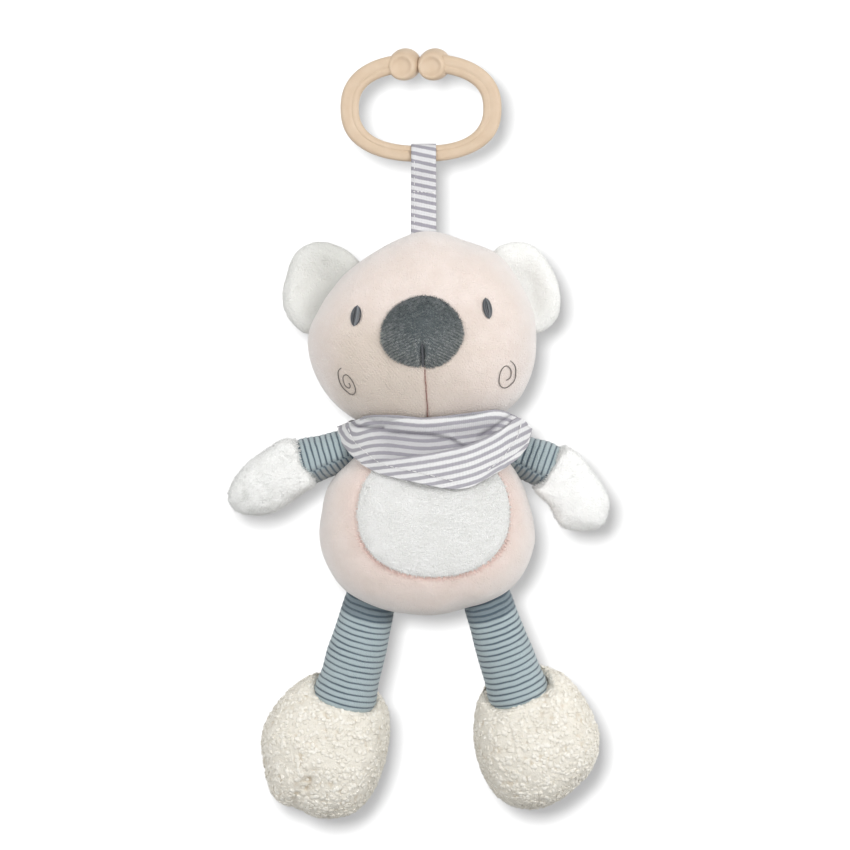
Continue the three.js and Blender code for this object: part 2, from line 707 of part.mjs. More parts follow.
// The wheel train, laid out from the spool, whose right-hand side lies under the cord
const winding = SPOOL_CORE / 2 + GAP + CORD_DIAMETER / 2;
const pitchRadius = (teeth) => (MODULE * teeth) / 2;
const spool = { x: CORD_X - winding, z: torso.z + SPOOL_RISE };
const spoolToCylinder = pitchRadius(TEETH.spool) + pitchRadius(TEETH.cylinder);
const cylinder = polar(spool, spoolToCylinder, TRAIN_ANGLES.cylinder);
const idlerReach = pitchRadius(TEETH.cylinder) + pitchRadius(TEETH.idlerPinion);
const idler = polar(cylinder, idlerReach, TRAIN_ANGLES.idler);
const governorReach = pitchRadius(TEETH.idlerWheel) + pitchRadius(TEETH.governor);
const governor = polar(idler, governorReach, TRAIN_ANGLES.governor);

// The case's inside, from what it holds
const combTip = cylinder.x + CYLINDER_DIAMETER / 2 + PIN_LENGTH + GAP;
const wheelTip = (teeth) => pitchRadius(teeth) + TIP_HEIGHT * MODULE;
const spoolReach = Math.max(SPOOL_FLANGE / 2, wheelTip(TEETH.spool));
const lowestWheel = Math.min(
  idler.z - wheelTip(TEETH.idlerWheel),
  cylinder.z - wheelTip(TEETH.cylinder),
  governor.z - FAN_SPAN / 2,
);
const inside = {
  left: Math.min(spool.x - spoolReach, governor.x - FAN_SPAN / 2) - CASE_MARGIN,
  right: combTip + COMB_LENGTH + CASE_MARGIN,
  top: spool.z + spoolReach + CASE_MARGIN,
  low: lowestWheel - CASE_MARGIN,
  front: -CASE_DEPTH / 2 + CASE_WALL,
  back: CASE_DEPTH / 2 - CASE_WALL,
};

// Levels from the bedplate forward: wheels of the spool and cylinder, then idler wheel, then the rest
const plateFront = inside.back - GAP - BEDPLATE;
const firstWheels = [plateFront - GAP - WHEEL_FACE, plateFront - GAP];
const secondWheels = [firstWheels[0] - 2 * GAP - WHEEL_FACE, firstWheels[0] - 2 * GAP];
const bodiesBack = secondWheels[0] - GAP;
const bodiesFront = inside.front + 2 * GAP + CASE_MARGIN;

function insideShape(margin, corner) {
  const [left, right] = [inside.left - margin, inside.right + margin];
  const [low, top] = [inside.low - margin, inside.top + margin];
  const shape = new THREE.Shape();
  shape.moveTo(left + corner, low);
  shape.lineTo(right - corner, low);
  shape.quadraticCurveTo(right, low, right, low + corner);
  shape.lineTo(right, top - corner);
  shape.quadraticCurveTo(right, top, right - corner, top);
  shape.lineTo(left + corner, top);
  shape.quadraticCurveTo(left, top, left, top - corner);
  shape.lineTo(left, low + corner);
  shape.quadraticCurveTo(left, low, left + corner, low);
  return shape;
}

const posts = [
  { x: inside.left + CASE_POST - GAP, z: inside.top - CASE_POST + GAP },
  { x: inside.right - CASE_POST + GAP, z: inside.top - CASE_POST + GAP },
  { x: inside.left + CASE_POST - GAP, z: inside.low + CASE_POST - GAP },
  { x: inside.right - CASE_POST + GAP, z: inside.low + CASE_POST - GAP },
];

/** A screw along Y: its head in front, its shank behind. */
function screw(shank, length, level) {
  const cap = shank + SCREW_HEAD;
  return solid(
    new THREE.LatheGeometry(
      [[0, 0], [cap, 0], [cap, SCREW_HEAD], [shank, SCREW_HEAD], [shank, length], [0, length]].map(
        ([radius, along]) => new THREE.Vector2(radius, level + along),
      ),
      ROUND / 2,
    ),
  );
}

/** The movement's case: two halves screwed together at four posts, with the cord's eyelet on top. */
function makeCase(bear) {
  const outer = slab(insideShape(CASE_WALL, CASE_CORNER), -CASE_DEPTH / 2, CASE_DEPTH / 2);
  let hollow = slab(insideShape(0, CASE_CORNER - CASE_WALL), inside.front, inside.back);
  for (const at of posts) hollow = hollow.subtract(pin(CASE_POST, inside.front, inside.back, at));
  let shell = outer.subtract(hollow);
  const cap = CASE_SCREW + SCREW_HEAD + GAP;
  for (const at of posts) {
    shell = shell.subtract(pin(CASE_SCREW + GAP, -CASE_DEPTH / 2, inside.back, at));
    shell = shell.subtract(pin(cap, -CASE_DEPTH / 2, -CASE_DEPTH / 2 + SCREW_HEAD + GAP, at));
  }
  const eyeletHole = CORD_DIAMETER / 2 + PLAY + EYELET_WALL;
  const lid = inside.top + CASE_WALL;
  shell = shell.subtract(post(eyeletHole + GAP, inside.top - GAP, lid + GAP, CORD_X, 0));
  add(bear, "case_front", shell.intersect(front), LOOKS.plastic());
  add(bear, "case_back", shell.intersect(back), LOOKS.plastic());
  posts.forEach((at, i) => {
    const made = screw(CASE_SCREW, CASE_DEPTH - CASE_WALL - GAP, -CASE_DEPTH / 2);
    add(bear, `case_screw_${i + 1}`, made, LOOKS.steel(), at);
  });
  const lip = post(eyeletHole + EYELET_LIP, lid + GAP, lid + GAP + EYELET_LIP, CORD_X, 0);
  const eyelet = post(eyeletHole, inside.top, lid + GAP + EYELET_LIP, CORD_X, 0).add(lip);
  const bore = post(CORD_DIAMETER / 2 + PLAY, -FAR, FAR, CORD_X, 0);
  add(bear, "cord_eyelet", eyelet.subtract(bore), LOOKS.brass());

  let plate = slab(insideShape(-GAP, CASE_CORNER - CASE_WALL), plateFront, plateFront + BEDPLATE);
  for (const at of posts) plate = plate.subtract(pin(CASE_POST + GAP, -FAR, FAR, at));
  for (const [name, at] of Object.entries({ spool, cylinder, idler, governor })) {
    plate = plate.subtract(pin(ARBORS[name] + GAP, -FAR, FAR, at));
    const arbor = pin(ARBORS[name], inside.front + GAP, plateFront + BEDPLATE);
    add(bear, `${name}_arbor`, arbor, LOOKS.steel(), at);
  }
  add(bear, "bedplate", plate, LOOKS.steel());

  const lift = EYELET_LIP + 2 * GAP;
  const room = slab(insideShape(CASE_WALL + GAP, CASE_CORNER), -CASE_DEPTH / 2 - GAP, CASE_DEPTH / 2 + GAP);
  const neck = post(eyeletHole + EYELET_LIP + GAP, lid, lid + lift, CORD_X, 0);
  const filling = stuffed(torso, SKIN + GAP).intersect(belowNeck).subtract(cordChannel);
  add(bear, "torso_stuffing", largest(filling.subtract(room).subtract(neck)), LOOKS.stuffing());
}

/** The pull cord's straight stretch, from the strap down to where it meets its turns on the spool. */
function makeCord(bear) {
  const outer = winding + CORD_DIAMETER / 2;
  const low = spool.z + Math.sqrt(outer ** 2 - (winding - CORD_DIAMETER / 2) ** 2) + GAP;
  add(bear, "pull_cord", post(CORD_DIAMETER / 2, low, strapEndZ - GAP, CORD_X, 0), LOOKS.cord());
  const half = (CORD_TURNS * CORD_DIAMETER) / 2;
  const inner = winding - CORD_DIAMETER / 2;
  const turns = turned([[inner, -half], [outer, -half], [outer, half], [inner, half]], 1.5 * ROUND);
  add(bear, "cord_turns", turns, LOOKS.cord(), spool);
}

/** The spool: a flanged drum on a hub, hollow in front for the mainspring. */
function makeSpool(bear) {
  const [bore, flange, core] = [ARBORS.spool + PLAY, SPOOL_FLANGE / 2, SPOOL_CORE / 2];
  const [hubBack, low] = [firstWheels[0] - GAP, bodiesFront];
  const web = bodiesBack - 2 * FLANGE_THICKNESS;
  const drum = turned(
    [
      [bore, hubBack],
      [SPOOL_HUB / 2, hubBack],
      [SPOOL_HUB / 2, bodiesBack],
      [flange, bodiesBack],
      [flange, bodiesBack - FLANGE_THICKNESS],
      [core, bodiesBack - FLANGE_THICKNESS],
      [core, low + FLANGE_THICKNESS],
      [flange, low + FLANGE_THICKNESS],
      [flange, low],
      [SPOOL_CAVITY / 2, low],
      [SPOOL_CAVITY / 2, web],
      [bore, web],
    ],
    1.5 * ROUND,
  );
  add(bear, "cord_spool", drum, LOOKS.plastic(), spool);

  const stops = SPRING_STEPS * SPRING_TURNS;
  const [from, to] = [ARBORS.spool + GAP, SPOOL_CAVITY / 2 - GAP - SPRING_STRIP];
  const edge = (grow) =>
    Array.from({ length: stops + 1 }, (_, i) => {
      const radius = from + ((to - from) * i) / stops + grow;
      const angle = (2 * Math.PI * SPRING_TURNS * i) / stops;
      return new THREE.Vector2(radius * Math.cos(angle), radius * Math.sin(angle));
    });
  const strip = new THREE.Shape([...edge(0), ...edge(SPRING_STRIP).reverse()]);
  add(bear, "mainspring", slab(strip, low + FLANGE_THICKNESS, web - GAP), LOOKS.steel(), spool);
}

/** A spur wheel whose first tooth points along a turn angle. */
function wheel(teeth, turn, bore, [frontLevel, backLevel]) {
  const pitch = (2 * Math.PI) / teeth;
  const root = pitchRadius(teeth) - ROOT_DEPTH * MODULE;
  const tip = wheelTip(teeth);
  const flank = [[root, -ROOT_SHARE], [tip, -TIP_SHARE], [tip, TIP_SHARE], [root, ROOT_SHARE]];
  const points = [];
  for (let tooth = 0; tooth < teeth; tooth++) {
    for (const [radius, share] of flank) {
      const angle = turn + (tooth + share) * pitch;
      points.push(new THREE.Vector2(radius * Math.cos(angle), radius * Math.sin(angle)));
    }
  }
  return slab(new THREE.Shape(points), frontLevel, backLevel).subtract(pin(bore, -FAR, FAR));
}

/** The turn of a driven wheel whose gap takes the driver's tooth along the line between them. */
function meshed(driverTeeth, driverTurn, degrees, teeth) {
  const pitch = (2 * Math.PI) / driverTeeth;
  const past = (rad(degrees) - driverTurn) / pitch;
  const share = past - Math.floor(past);
  return rad(degrees) + Math.PI + (share + 0.5) * ((2 * Math.PI) / teeth);
}

/** The wheels on their arbors. */
function makeTrain(bear) {
  const spoolTurn = rad(TRAIN_ANGLES.cylinder);
  const cylinderTurn = meshed(TEETH.spool, spoolTurn, TRAIN_ANGLES.cylinder, TEETH.cylinder);
  const idlerTurn = meshed(TEETH.cylinder, cylinderTurn, TRAIN_ANGLES.idler, TEETH.idlerPinion);
  const governorTurn = meshed(TEETH.idlerWheel, 0, TRAIN_ANGLES.governor, TEETH.governor);
  const made = [
    ["spool_gear", wheel(TEETH.spool, spoolTurn, ARBORS.spool + PLAY, firstWheels), spool],
    ["cylinder_gear", wheel(TEETH.cylinder, cylinderTurn, ARBORS.cylinder + PLAY, firstWheels), cylinder],
    ["idler_pinion", wheel(TEETH.idlerPinion, idlerTurn, ARBORS.idler + PLAY, firstWheels), idler],
    ["idler_wheel", wheel(TEETH.idlerWheel, 0, ARBORS.idler + PLAY, secondWheels), idler],
    ["governor_pinion", wheel(TEETH.governor, governorTurn, ARBORS.governor + PLAY, secondWheels), governor],
  ];
  for (const [name, shape, at] of made) add(bear, name, shape, LOOKS.brass(), at);

  const hub = pin(FAN_HUB / 2, bodiesFront, bodiesBack);
  const blade = box([-FAN_SPAN / 2, bodiesFront, -FAN_BLADE / 2], [FAN_SPAN / 2, bodiesBack, FAN_BLADE / 2]);
  const fan = hub.add(blade).subtract(pin(ARBORS.governor + PLAY, -FAR, FAR));
  add(bear, "governor_fan", fan, LOOKS.plastic(), governor);
}

/** The pin cylinder and the comb that its pins pluck. */
function makeMusic(bear) {
  const radius = CYLINDER_DIAMETER / 2;
  const hub = pin(CYLINDER_HUB / 2, bodiesBack - GAP, firstWheels[0] - GAP);
  let drum = pin(radius, bodiesFront, bodiesBack).add(hub);
  const rowStep = (bodiesBack - bodiesFront) / PIN_ROWS;
  for (let row = 0; row < PIN_ROWS; row++) {
    for (let note = 0; note < PINS_PER_ROW; note++) {
      const peg = new THREE.ConeGeometry(PIN_WIDTH, 2 * PIN_LENGTH, 4);
      peg.rotateZ(-Math.PI / 2);
      peg.translate(radius, bodiesFront + (row + 0.5) * rowStep, 0);
      const place = note * PIN_ROWS + ((row * PIN_STAGGER) % PIN_ROWS);
      peg.rotateY((2 * Math.PI * place) / (PIN_ROWS * PINS_PER_ROW));
      drum = drum.add(solid(peg));
    }
  }
  const bore = pin(ARBORS.cylinder + PLAY, -FAR, FAR);
  add(bear, "pin_cylinder", drum.subtract(bore), LOOKS.brass(), cylinder);

  const [low, high] = [cylinder.z - COMB_THICKNESS / 2, cylinder.z + COMB_THICKNESS / 2];
  const right = combTip + COMB_LENGTH;
  const root = right - COMB_ROOT;
  let comb = box([combTip, bodiesFront, low], [right, bodiesBack, high]);
  const step = (bodiesBack - bodiesFront) / COMB_TEETH;
  for (let tooth = 1; tooth < COMB_TEETH; tooth++) {
    const level = bodiesFront + tooth * step;
    const [from, to] = [level - COMB_SLOT / 2, level + COMB_SLOT / 2];
    comb = comb.subtract(box([-FAR, from, low - GAP], [root, to, high + GAP]));
  }
  const seat = low - GAP;
  let block = box([root, bodiesFront, seat - COMB_BLOCK], [right, plateFront - GAP, seat]);
  const hole = COMB_SCREW + GAP;
  COMB_SCREW_PLACES.forEach((share, i) => {
    const level = bodiesFront + share * (bodiesBack - bodiesFront);
    const middle = root + COMB_ROOT / 2;
    comb = comb.subtract(post(hole, low - GAP, high + GAP, middle, level));
    block = block.subtract(post(hole, seat - COMB_BLOCK - GAP, seat + GAP, middle, level));
    const shank = post(COMB_SCREW, seat - COMB_BLOCK, high + GAP + SCREW_HEAD, middle, level);
    const cap = post(COMB_SCREW + SCREW_HEAD, high + GAP, high + GAP + SCREW_HEAD, middle, level);
    add(bear, `comb_screw_${i + 1}`, shank.add(cap), LOOKS.steel());
  });
  add(bear, "comb", comb, LOOKS.steel());
  add(bear, "comb_block", block, LOOKS.brass());
}

const bear = new THREE.Group();
makeRing(bear);
makeStrap(bear);
makeHead(bear);
makeEars(bear);
makeTorso(bear);
makeArms(bear);
makeLegs(bear);
makeCase(bear);
makeCord(bear);
makeSpool(bear);
makeTrain(bear);
makeMusic(bear);

export default bear;
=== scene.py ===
# %% [markdown]
# # A musical plush bear on a hanging ring
# The imported CAD model already fixes every body, joint and place. This lesson builds what the eye sees
# around it: plush skins, ribbed limbs, fleecy feet, a striped scarf and a moulded ring. Each soft piece
# stands for the plain CAD solid that it replaces, and most of them move with the same body.

# %% Load the frame and keep the CAD box
import math
from itertools import product

import bpy
import numpy as np
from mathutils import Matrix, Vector


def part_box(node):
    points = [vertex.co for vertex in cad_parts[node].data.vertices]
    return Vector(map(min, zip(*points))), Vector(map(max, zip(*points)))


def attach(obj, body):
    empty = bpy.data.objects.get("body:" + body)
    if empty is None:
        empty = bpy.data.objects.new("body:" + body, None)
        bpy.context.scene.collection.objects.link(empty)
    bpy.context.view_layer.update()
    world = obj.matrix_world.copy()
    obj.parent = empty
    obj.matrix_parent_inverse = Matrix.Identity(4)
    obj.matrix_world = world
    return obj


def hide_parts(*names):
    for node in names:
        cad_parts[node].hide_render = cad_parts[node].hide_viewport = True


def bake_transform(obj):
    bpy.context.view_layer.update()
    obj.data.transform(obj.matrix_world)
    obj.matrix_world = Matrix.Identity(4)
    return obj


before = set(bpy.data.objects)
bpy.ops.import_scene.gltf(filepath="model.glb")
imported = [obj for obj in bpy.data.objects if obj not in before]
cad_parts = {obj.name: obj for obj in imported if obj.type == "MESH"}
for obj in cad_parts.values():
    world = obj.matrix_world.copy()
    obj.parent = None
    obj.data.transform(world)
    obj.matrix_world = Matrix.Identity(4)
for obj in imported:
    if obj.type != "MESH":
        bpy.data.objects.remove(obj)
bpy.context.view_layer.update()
MM = 0.001  # sizes below are in millimetres

# %% [markdown]
# ## Camera, light and stage
# The toy hangs flat on to the viewer. A long lens from far off keeps the face and the feet at one scale,
# as in a catalogue picture. Two soft boxes light it from the front and two weak ones brighten its sides. A
# fifth lamp, small and near the camera's line, lights only the wall and the floor. So the toy throws one
# narrow shadow, although the wall stands far enough back for every pose. The wall shows only its front, so
# the toy can still be looked at from behind.

# %% Camera
VIEW_MIDDLE = (1.84, -157.78)
VIEW_SIZE = 391.0
LENS = 300.0
SENSOR = 36.0

scene = bpy.context.scene
scene.view_settings.view_transform = "Standard"
camera = bpy.data.objects.new("camera", bpy.data.cameras.new("camera"))
camera.data.lens = LENS
camera.data.sensor_width = SENSOR
camera.data.clip_end = 50
distance = VIEW_SIZE * LENS / SENSOR
camera.location = Vector((VIEW_MIDDLE[0], -distance, VIEW_MIDDLE[1])) * MM
camera.rotation_euler = (math.pi / 2, 0, 0)
scene.collection.objects.link(camera)
scene.camera = camera
print("camera distance", round(distance), "mm")


# %% Node helpers
def put(tree, kind, inputs=(), **settings):
    """A shader node: settings are its options; an input is a value, or a socket to link from."""
    made = tree.nodes.new("ShaderNode" + kind)
    for key, value in settings.items():
        setattr(made, key, value)
    for key, value in dict(inputs).items():
        if isinstance(value, bpy.types.NodeSocket):
            tree.links.new(value, made.inputs[key])
        else:
            made.inputs[key].default_value = value
    return made


def seen(tree):
    """1 for rays from the camera, and for those mirrored or passed on by a surface."""
    path = put(tree, "LightPath")
    value = path.outputs["Is Camera Ray"]
    for kind in ("Is Glossy Ray", "Is Transmission Ray"):
        value = put(tree, "Math", {0: value, 1: path.outputs[kind]}, operation="MAXIMUM").outputs[0]
    return value


def times(tree, first, second):
    """The product of two numbers or sockets."""
    return put(tree, "Math", {0: first, 1: second}, operation="MULTIPLY").outputs[0]


print("node helpers ready")


# %% Lamps and sky
def lamp(name, place, size, power):
    """A square soft box at a place in metres, turned towards the toy's middle."""
    light = bpy.data.lights.new(name, "AREA")
    light.size = size
    light.energy = power
    box = bpy.data.objects.new(name, light)
    box.location = place
    aim = Vector((0, 0, VIEW_MIDDLE[1] * MM)) - box.location
    box.rotation_euler = aim.to_track_quat("-Z", "Y").to_euler()
    scene.collection.objects.link(box)
    return box


SOFT_BOX = 0.9  # metres across
key = lamp("key_right", (1.2, -1.8, 0.45), SOFT_BOX, 22.6)
fill = lamp("fill_left", (-1.2, -1.9, -0.2), SOFT_BOX, 16.4)
side_right = lamp("side_right", (1.3, 0.24, 0.0), SOFT_BOX, 5.6)
side_left = lamp("side_left", (-1.3, 0.24, 0.0), SOFT_BOX, 2.7)
wall_lamp = lamp("wall_lamp", (-0.0386, -3.1, -0.116), 0.081, 150)

WHITE = (1, 1, 1, 1)
SKY = 0.64
world = bpy.data.worlds.new("studio")
scene.world = world
world.use_nodes = True
studio = world.node_tree
sky = studio.nodes["Background"]
sky.inputs["Strength"].default_value = SKY
sky.inputs["Color"].default_value = WHITE
bright = put(studio, "Background", {"Strength": 1.0, "Color": WHITE})
choose = put(studio, "MixShader", {0: seen(studio), 1: sky.outputs[0], 2: bright.outputs[0]})
studio.links.new(choose.outputs[0], studio.nodes["World Output"].inputs[0])
print("lamps", len(bpy.data.lights))


# %% Wall and floor
STAGE_GREY = (0.52, 0.52, 0.52, 1)
ROOM = 3  # metres from the toy to the edges of the stage
WALL_Y = 0.36  # clear of the toy when it swings back
FLOOR_Z = -0.47  # and when it is pulled down


def stage_paint(name, glow):
    """White paint that is lifted to white where nothing shades it, and clear from behind."""
    paint = bpy.data.materials.new(name)
    paint.use_nodes = True
    tree = paint.node_tree
    shader = tree.nodes["Principled BSDF"]
    shader.inputs["Base Color"].default_value = STAGE_GREY
    shader.inputs["Roughness"].default_value = 1
    shader.inputs["Specular IOR Level"].default_value = 0
    glowing = put(tree, "Emission", {"Color": WHITE, "Strength": times(tree, seen(tree), glow)})
    both = put(tree, "AddShader", {0: shader.outputs[0], 1: glowing.outputs[0]})
    clear = put(tree, "BsdfTransparent")
    side = put(tree, "NewGeometry")
    mix = put(tree, "MixShader", {0: side.outputs["Backfacing"], 1: both.outputs[0], 2: clear.outputs[0]})
    tree.links.new(mix.outputs[0], tree.nodes["Material Output"].inputs[0])
    return paint


def stage_sheet(name, near, far, glow):
    """A sheet between two level edges, each given by its y and z."""
    corners = [(-ROOM, *near), (ROOM, *near), (ROOM, *far), (-ROOM, *far)]
    mesh = bpy.data.meshes.new(name)
    mesh.from_pydata(corners, [], [(0, 1, 2, 3)])
    made = bpy.data.objects.new(name, mesh)
    mesh.materials.append(stage_paint(name + "_paint", glow))
    scene.collection.objects.link(made)
    return made


wall = stage_sheet("wall", (WALL_Y, FLOOR_Z), (WALL_Y, ROOM), 0.2)
wall.visible_diffuse = False  # so that it keeps no light of the sky off the toy's back
floor = stage_sheet("floor", (-ROOM, FLOOR_Z), (WALL_Y, FLOOR_Z), 0.3)


def light_only(lamps, name, state):
    """Lamps that pass the stage by, or that light nothing else, so that the wall takes one soft shadow."""
    group = bpy.data.collections.new(name)
    for part in (wall, floor):
        group.objects.link(part)
    for entry in group.collection_objects:
        entry.light_linking.link_state = state
    for one in lamps:
        one.light_linking.receiver_collection = group


light_only([key, fill, side_right, side_left], "stage_unlit", "EXCLUDE")
light_only([wall_lamp], "stage_lit", "INCLUDE")
print("stage ready")

# %% [markdown]
# ## Tools for shapes
# Sewn toys are flat outlines blown up with stuffing. So the main tool takes an outline seen from the front
# and rounds it to the front and back. Its points come from a ball made of six grids, which has no pole to
# pinch at. The other tools are a smooth curve through a few measured points, a tube along a path, noise for
# wrinkles and tufts, and short fibres.


# %% Curves through measured points
def curve(points, count, closed=False):
    """Smooth curve in even steps: a cubic spline over chord length, natural at its ends unless closed."""
    p = np.asarray(points, float)
    n = len(p)
    after = np.roll(p, -1, 0)
    step = np.linalg.norm(after - p, axis=1)
    slope = (after - p) / step[:, None]
    here = np.arange(n)
    system = np.zeros((n, n))
    np.add.at(system, (here, here - 1), np.roll(step, 1))
    np.add.at(system, (here, here), 2 * (np.roll(step, 1) + step))
    np.add.at(system, (here, (here + 1) % n), step)
    pull = 6 * (slope - np.roll(slope, 1, 0))
    if not closed:
        system[[0, -1]] = np.eye(n)[[0, -1]]
        pull[[0, -1]] = 0
    bend = np.linalg.solve(system, pull)
    knots = np.concatenate([[0], np.cumsum(step if closed else step[:-1])])
    s = np.linspace(0, knots[-1], 6 * count + 1)
    k = np.clip(np.searchsorted(knots, s, side="right") - 1, 0, len(knots) - 2)
    t, h = (s - knots[k])[:, None], step[k][:, None]
    a, b, ma, mb = p[k], p[(k + 1) % n], bend[k], bend[(k + 1) % n]
    path = a + t * ((b - a) / h - h * (2 * ma + mb) / 6) + t**2 * ma / 2 + t**3 * (mb - ma) / (6 * h)
    return resample(path, count + 1)[:-1] if closed else resample(path, count)


def resample(path, count):
    """A path cut into even steps."""
    along = np.concatenate([[0], np.cumsum(np.linalg.norm(np.diff(path, axis=0), axis=1))])
    at = np.linspace(0, along[-1], count)
    return np.stack([np.interp(at, along, column) for column in path.T], 1)


def ease(x, low, high):
    """0 below low, 1 above high, and a smooth step between."""
    t = np.clip((x - low) / (high - low), 0, 1)
    return t * t * (3 - 2 * t)


def hump(x, width):
    """A bell: 1 where x is 0, and next to nothing past twice the width."""
    return np.exp(-((x / width) ** 2))


def direction(rows):
    """Vectors cut to length 1, one in each row."""
    return rows / np.linalg.norm(rows, axis=1)[:, None]


def full_turn(count):
    """Angles in even steps once round."""
    return np.linspace(0, 2 * math.pi, count, endpoint=False)


# %% Noise
TABLE = 32


def noise(points, cell, seed):
    """Value noise from -1 to 1: random numbers on a grid of that cell size, eased between."""
    table = np.random.default_rng(seed).uniform(-1, 1, (TABLE, TABLE, TABLE))
    q = points / cell
    base = np.floor(q).astype(int)
    f = q - base
    f = f * f * (3 - 2 * f)
    total = np.zeros(len(points))
    for corner in product((0, 1), repeat=3):
        share = np.prod(np.where(corner, f, 1 - f), axis=1)
        total += share * table[tuple(((base + corner) % TABLE).T)]
    return total


# %% Meshes
def piece(name, points, faces, finish, uv=None, **values):
    """An object at the origin from points in millimetres; values are numbers kept on its points."""
    mesh = bpy.data.meshes.new(name)
    faces = np.asarray(faces, np.int32)
    mesh.vertices.add(len(points))
    mesh.vertices.foreach_set("co", (np.asarray(points) * MM).astype(np.float32).ravel())
    mesh.loops.add(faces.size)
    mesh.loops.foreach_set("vertex_index", faces.ravel())
    mesh.polygons.add(len(faces))
    mesh.polygons.foreach_set("loop_start", np.arange(0, faces.size, faces.shape[1], dtype=np.int32))
    mesh.polygons.foreach_set("use_smooth", np.ones(len(faces), bool))
    if uv is not None:
        corners = (uv[faces.ravel()] * MM).astype(np.float32)
        mesh.uv_layers.new(name="UVMap").data.foreach_set("uv", corners.ravel())
    for key, value in values.items():
        mesh.attributes.new(key, "FLOAT", "POINT").data.foreach_set("value", np.asarray(value, np.float32))
    mesh.update(calc_edges=True)
    mesh.materials.append(finish)
    made = bpy.data.objects.new(name, mesh)
    scene.collection.objects.link(made)
    return made


def grid_faces(rows, columns, around=False):
    """Quads of a grid of rows by columns; around joins the last column to the first."""
    r, c = np.meshgrid(np.arange(rows - 1), np.arange(columns if around else columns - 1), indexing="ij")
    a, b = r * columns + c, r * columns + (c + 1) % columns
    return np.stack([a, b, b + columns, a + columns], -1).reshape(-1, 4)


def ball(n):
    """Unit ball from a cube: n by n tangent-spaced grids on six sides, with the shared edges merged."""
    t = np.tan(np.linspace(-math.pi / 4, math.pi / 4, n + 1))
    u, v = (g.ravel() for g in np.meshgrid(t, t, indexing="ij"))
    one = np.ones_like(u)
    sides = [(one, u, v), (-one, v, u), (v, one, u), (u, -one, v), (u, v, one), (v, u, -one)]
    points = direction(np.concatenate([np.stack(side, 1) for side in sides]))
    one_grid = grid_faces(n + 1, n + 1)[:, ::-1]
    faces = np.concatenate([one_grid + k * (n + 1) ** 2 for k in range(6)])
    kept, same = np.unique(np.round(points, 7), axis=0, return_inverse=True)
    return kept, same.reshape(-1)[faces]


def normals(points, faces):
    """Outward direction at each point: the sum over its faces of the cross product of their diagonals."""
    corner = points[faces]
    face = np.cross(corner[:, 2] - corner[:, 0], corner[:, -1] - corner[:, 1])
    total = np.zeros_like(points)
    for k in range(faces.shape[1]):
        np.add.at(total, faces[:, k], face)
    return total / np.maximum(np.linalg.norm(total, axis=1), 1e-12)[:, None]


def push(points, faces, move):
    """Points of a skin moved out of it, or into it, by so much each."""
    return points + normals(points, faces) * move[:, None]


probe, probe_faces = ball(6)
outward = np.einsum("ij,ij->i", normals(probe, probe_faces), probe)
print("ball", len(probe), "points, faces point outwards:", bool(outward.min() > 0.5))


# %% Stuffed forms
class Form:
    """A stuffed outline. Seen from the front it fills the outline; towards the middle of the outline the
    front and back rise along a super-ellipse, whose fullness may differ with the direction."""

    def __init__(self, outline, centre, middle, front, back, fullness):
        self.centre, self.middle, self.front, self.back = np.array(centre, float), middle, front, back
        self.fullness = fullness if callable(fullness) else lambda angle: np.full(np.shape(angle), fullness)
        rim = curve(outline, 720, True) - self.centre
        angle = np.arctan2(rim[:, 1], rim[:, 0])
        order = np.argsort(angle)
        self.angles, self.reach = angle[order], np.hypot(*rim.T)[order]

    def radius(self, angle):
        """How far the outline lies from its centre in a direction."""
        return np.interp(angle, self.angles, self.reach, period=2 * math.pi)

    def cover(self, unit):
        """Points of a unit ball, moved on to the form."""
        x, y, z = unit.T
        angle = np.arctan2(z, x)
        share, f = np.hypot(x, z), self.fullness(angle)
        scale = (share**f + np.abs(y) ** f) ** (-1 / f)
        out = self.radius(angle) * share * scale
        deep = np.where(y < 0, self.front, self.back) * y * scale
        x, z = self.centre[0] + out * np.cos(angle), self.centre[1] + out * np.sin(angle)
        return np.stack([x, self.middle + deep, z], 1)

    def share(self, x, z):
        """How far out a place in the outline lies: 0 in the middle, 1 on the outline."""
        dx, dz = x - self.centre[0], z - self.centre[1]
        return np.hypot(dx, dz) / self.radius(np.arctan2(dz, dx))

    def face(self, x, z):
        """The level of the front surface at x and z."""
        f = self.fullness(np.arctan2(z - self.centre[1], x - self.centre[0]))
        return self.middle - self.front * np.maximum(0, 1 - np.minimum(1, self.share(x, z)) ** f) ** (1 / f)

    def on(self, path, lift):
        """A path of x and z laid on the front surface, lifted off it towards the viewer."""
        return np.stack([path[:, 0], self.face(path[:, 0], path[:, 1]) - lift, path[:, 1]], 1)


# %% Tubes
def tube(path, radius, sides):
    """A round section carried along a path on frames that turn as little as they can; ends drawn shut."""
    path = np.asarray(path, float)
    ahead = direction(np.gradient(path, axis=0))
    start = np.cross(ahead[0], [0.3, -1.0, 0.2])
    side = direction(start[None] - (ahead @ start)[:, None] * ahead)
    third = np.cross(ahead, side)
    turn = full_turn(sides)
    size = np.broadcast_to(np.asarray(radius, float), len(path)).copy()
    size[[0, -1]] *= 0.05
    ring = np.cos(turn)[None, :, None] * side[:, None] + np.sin(turn)[None, :, None] * third[:, None]
    points = path[:, None] + size[:, None, None] * ring
    return closed(points.reshape(-1, 3), grid_faces(len(path), sides, True))


def closed(points, faces):
    """A shut surface with its faces turned outwards, by the sign of the room it holds."""
    a, b, c = (points[faces[:, k]] for k in (0, 1, 2))
    room = np.einsum("ij,ij->", a - points.mean(0), np.cross(b - a, c - a))
    return points, faces if room > 0 else faces[:, ::-1]


print("a short tube has", len(tube(np.eye(3), 1.0, 8)[1]), "faces")


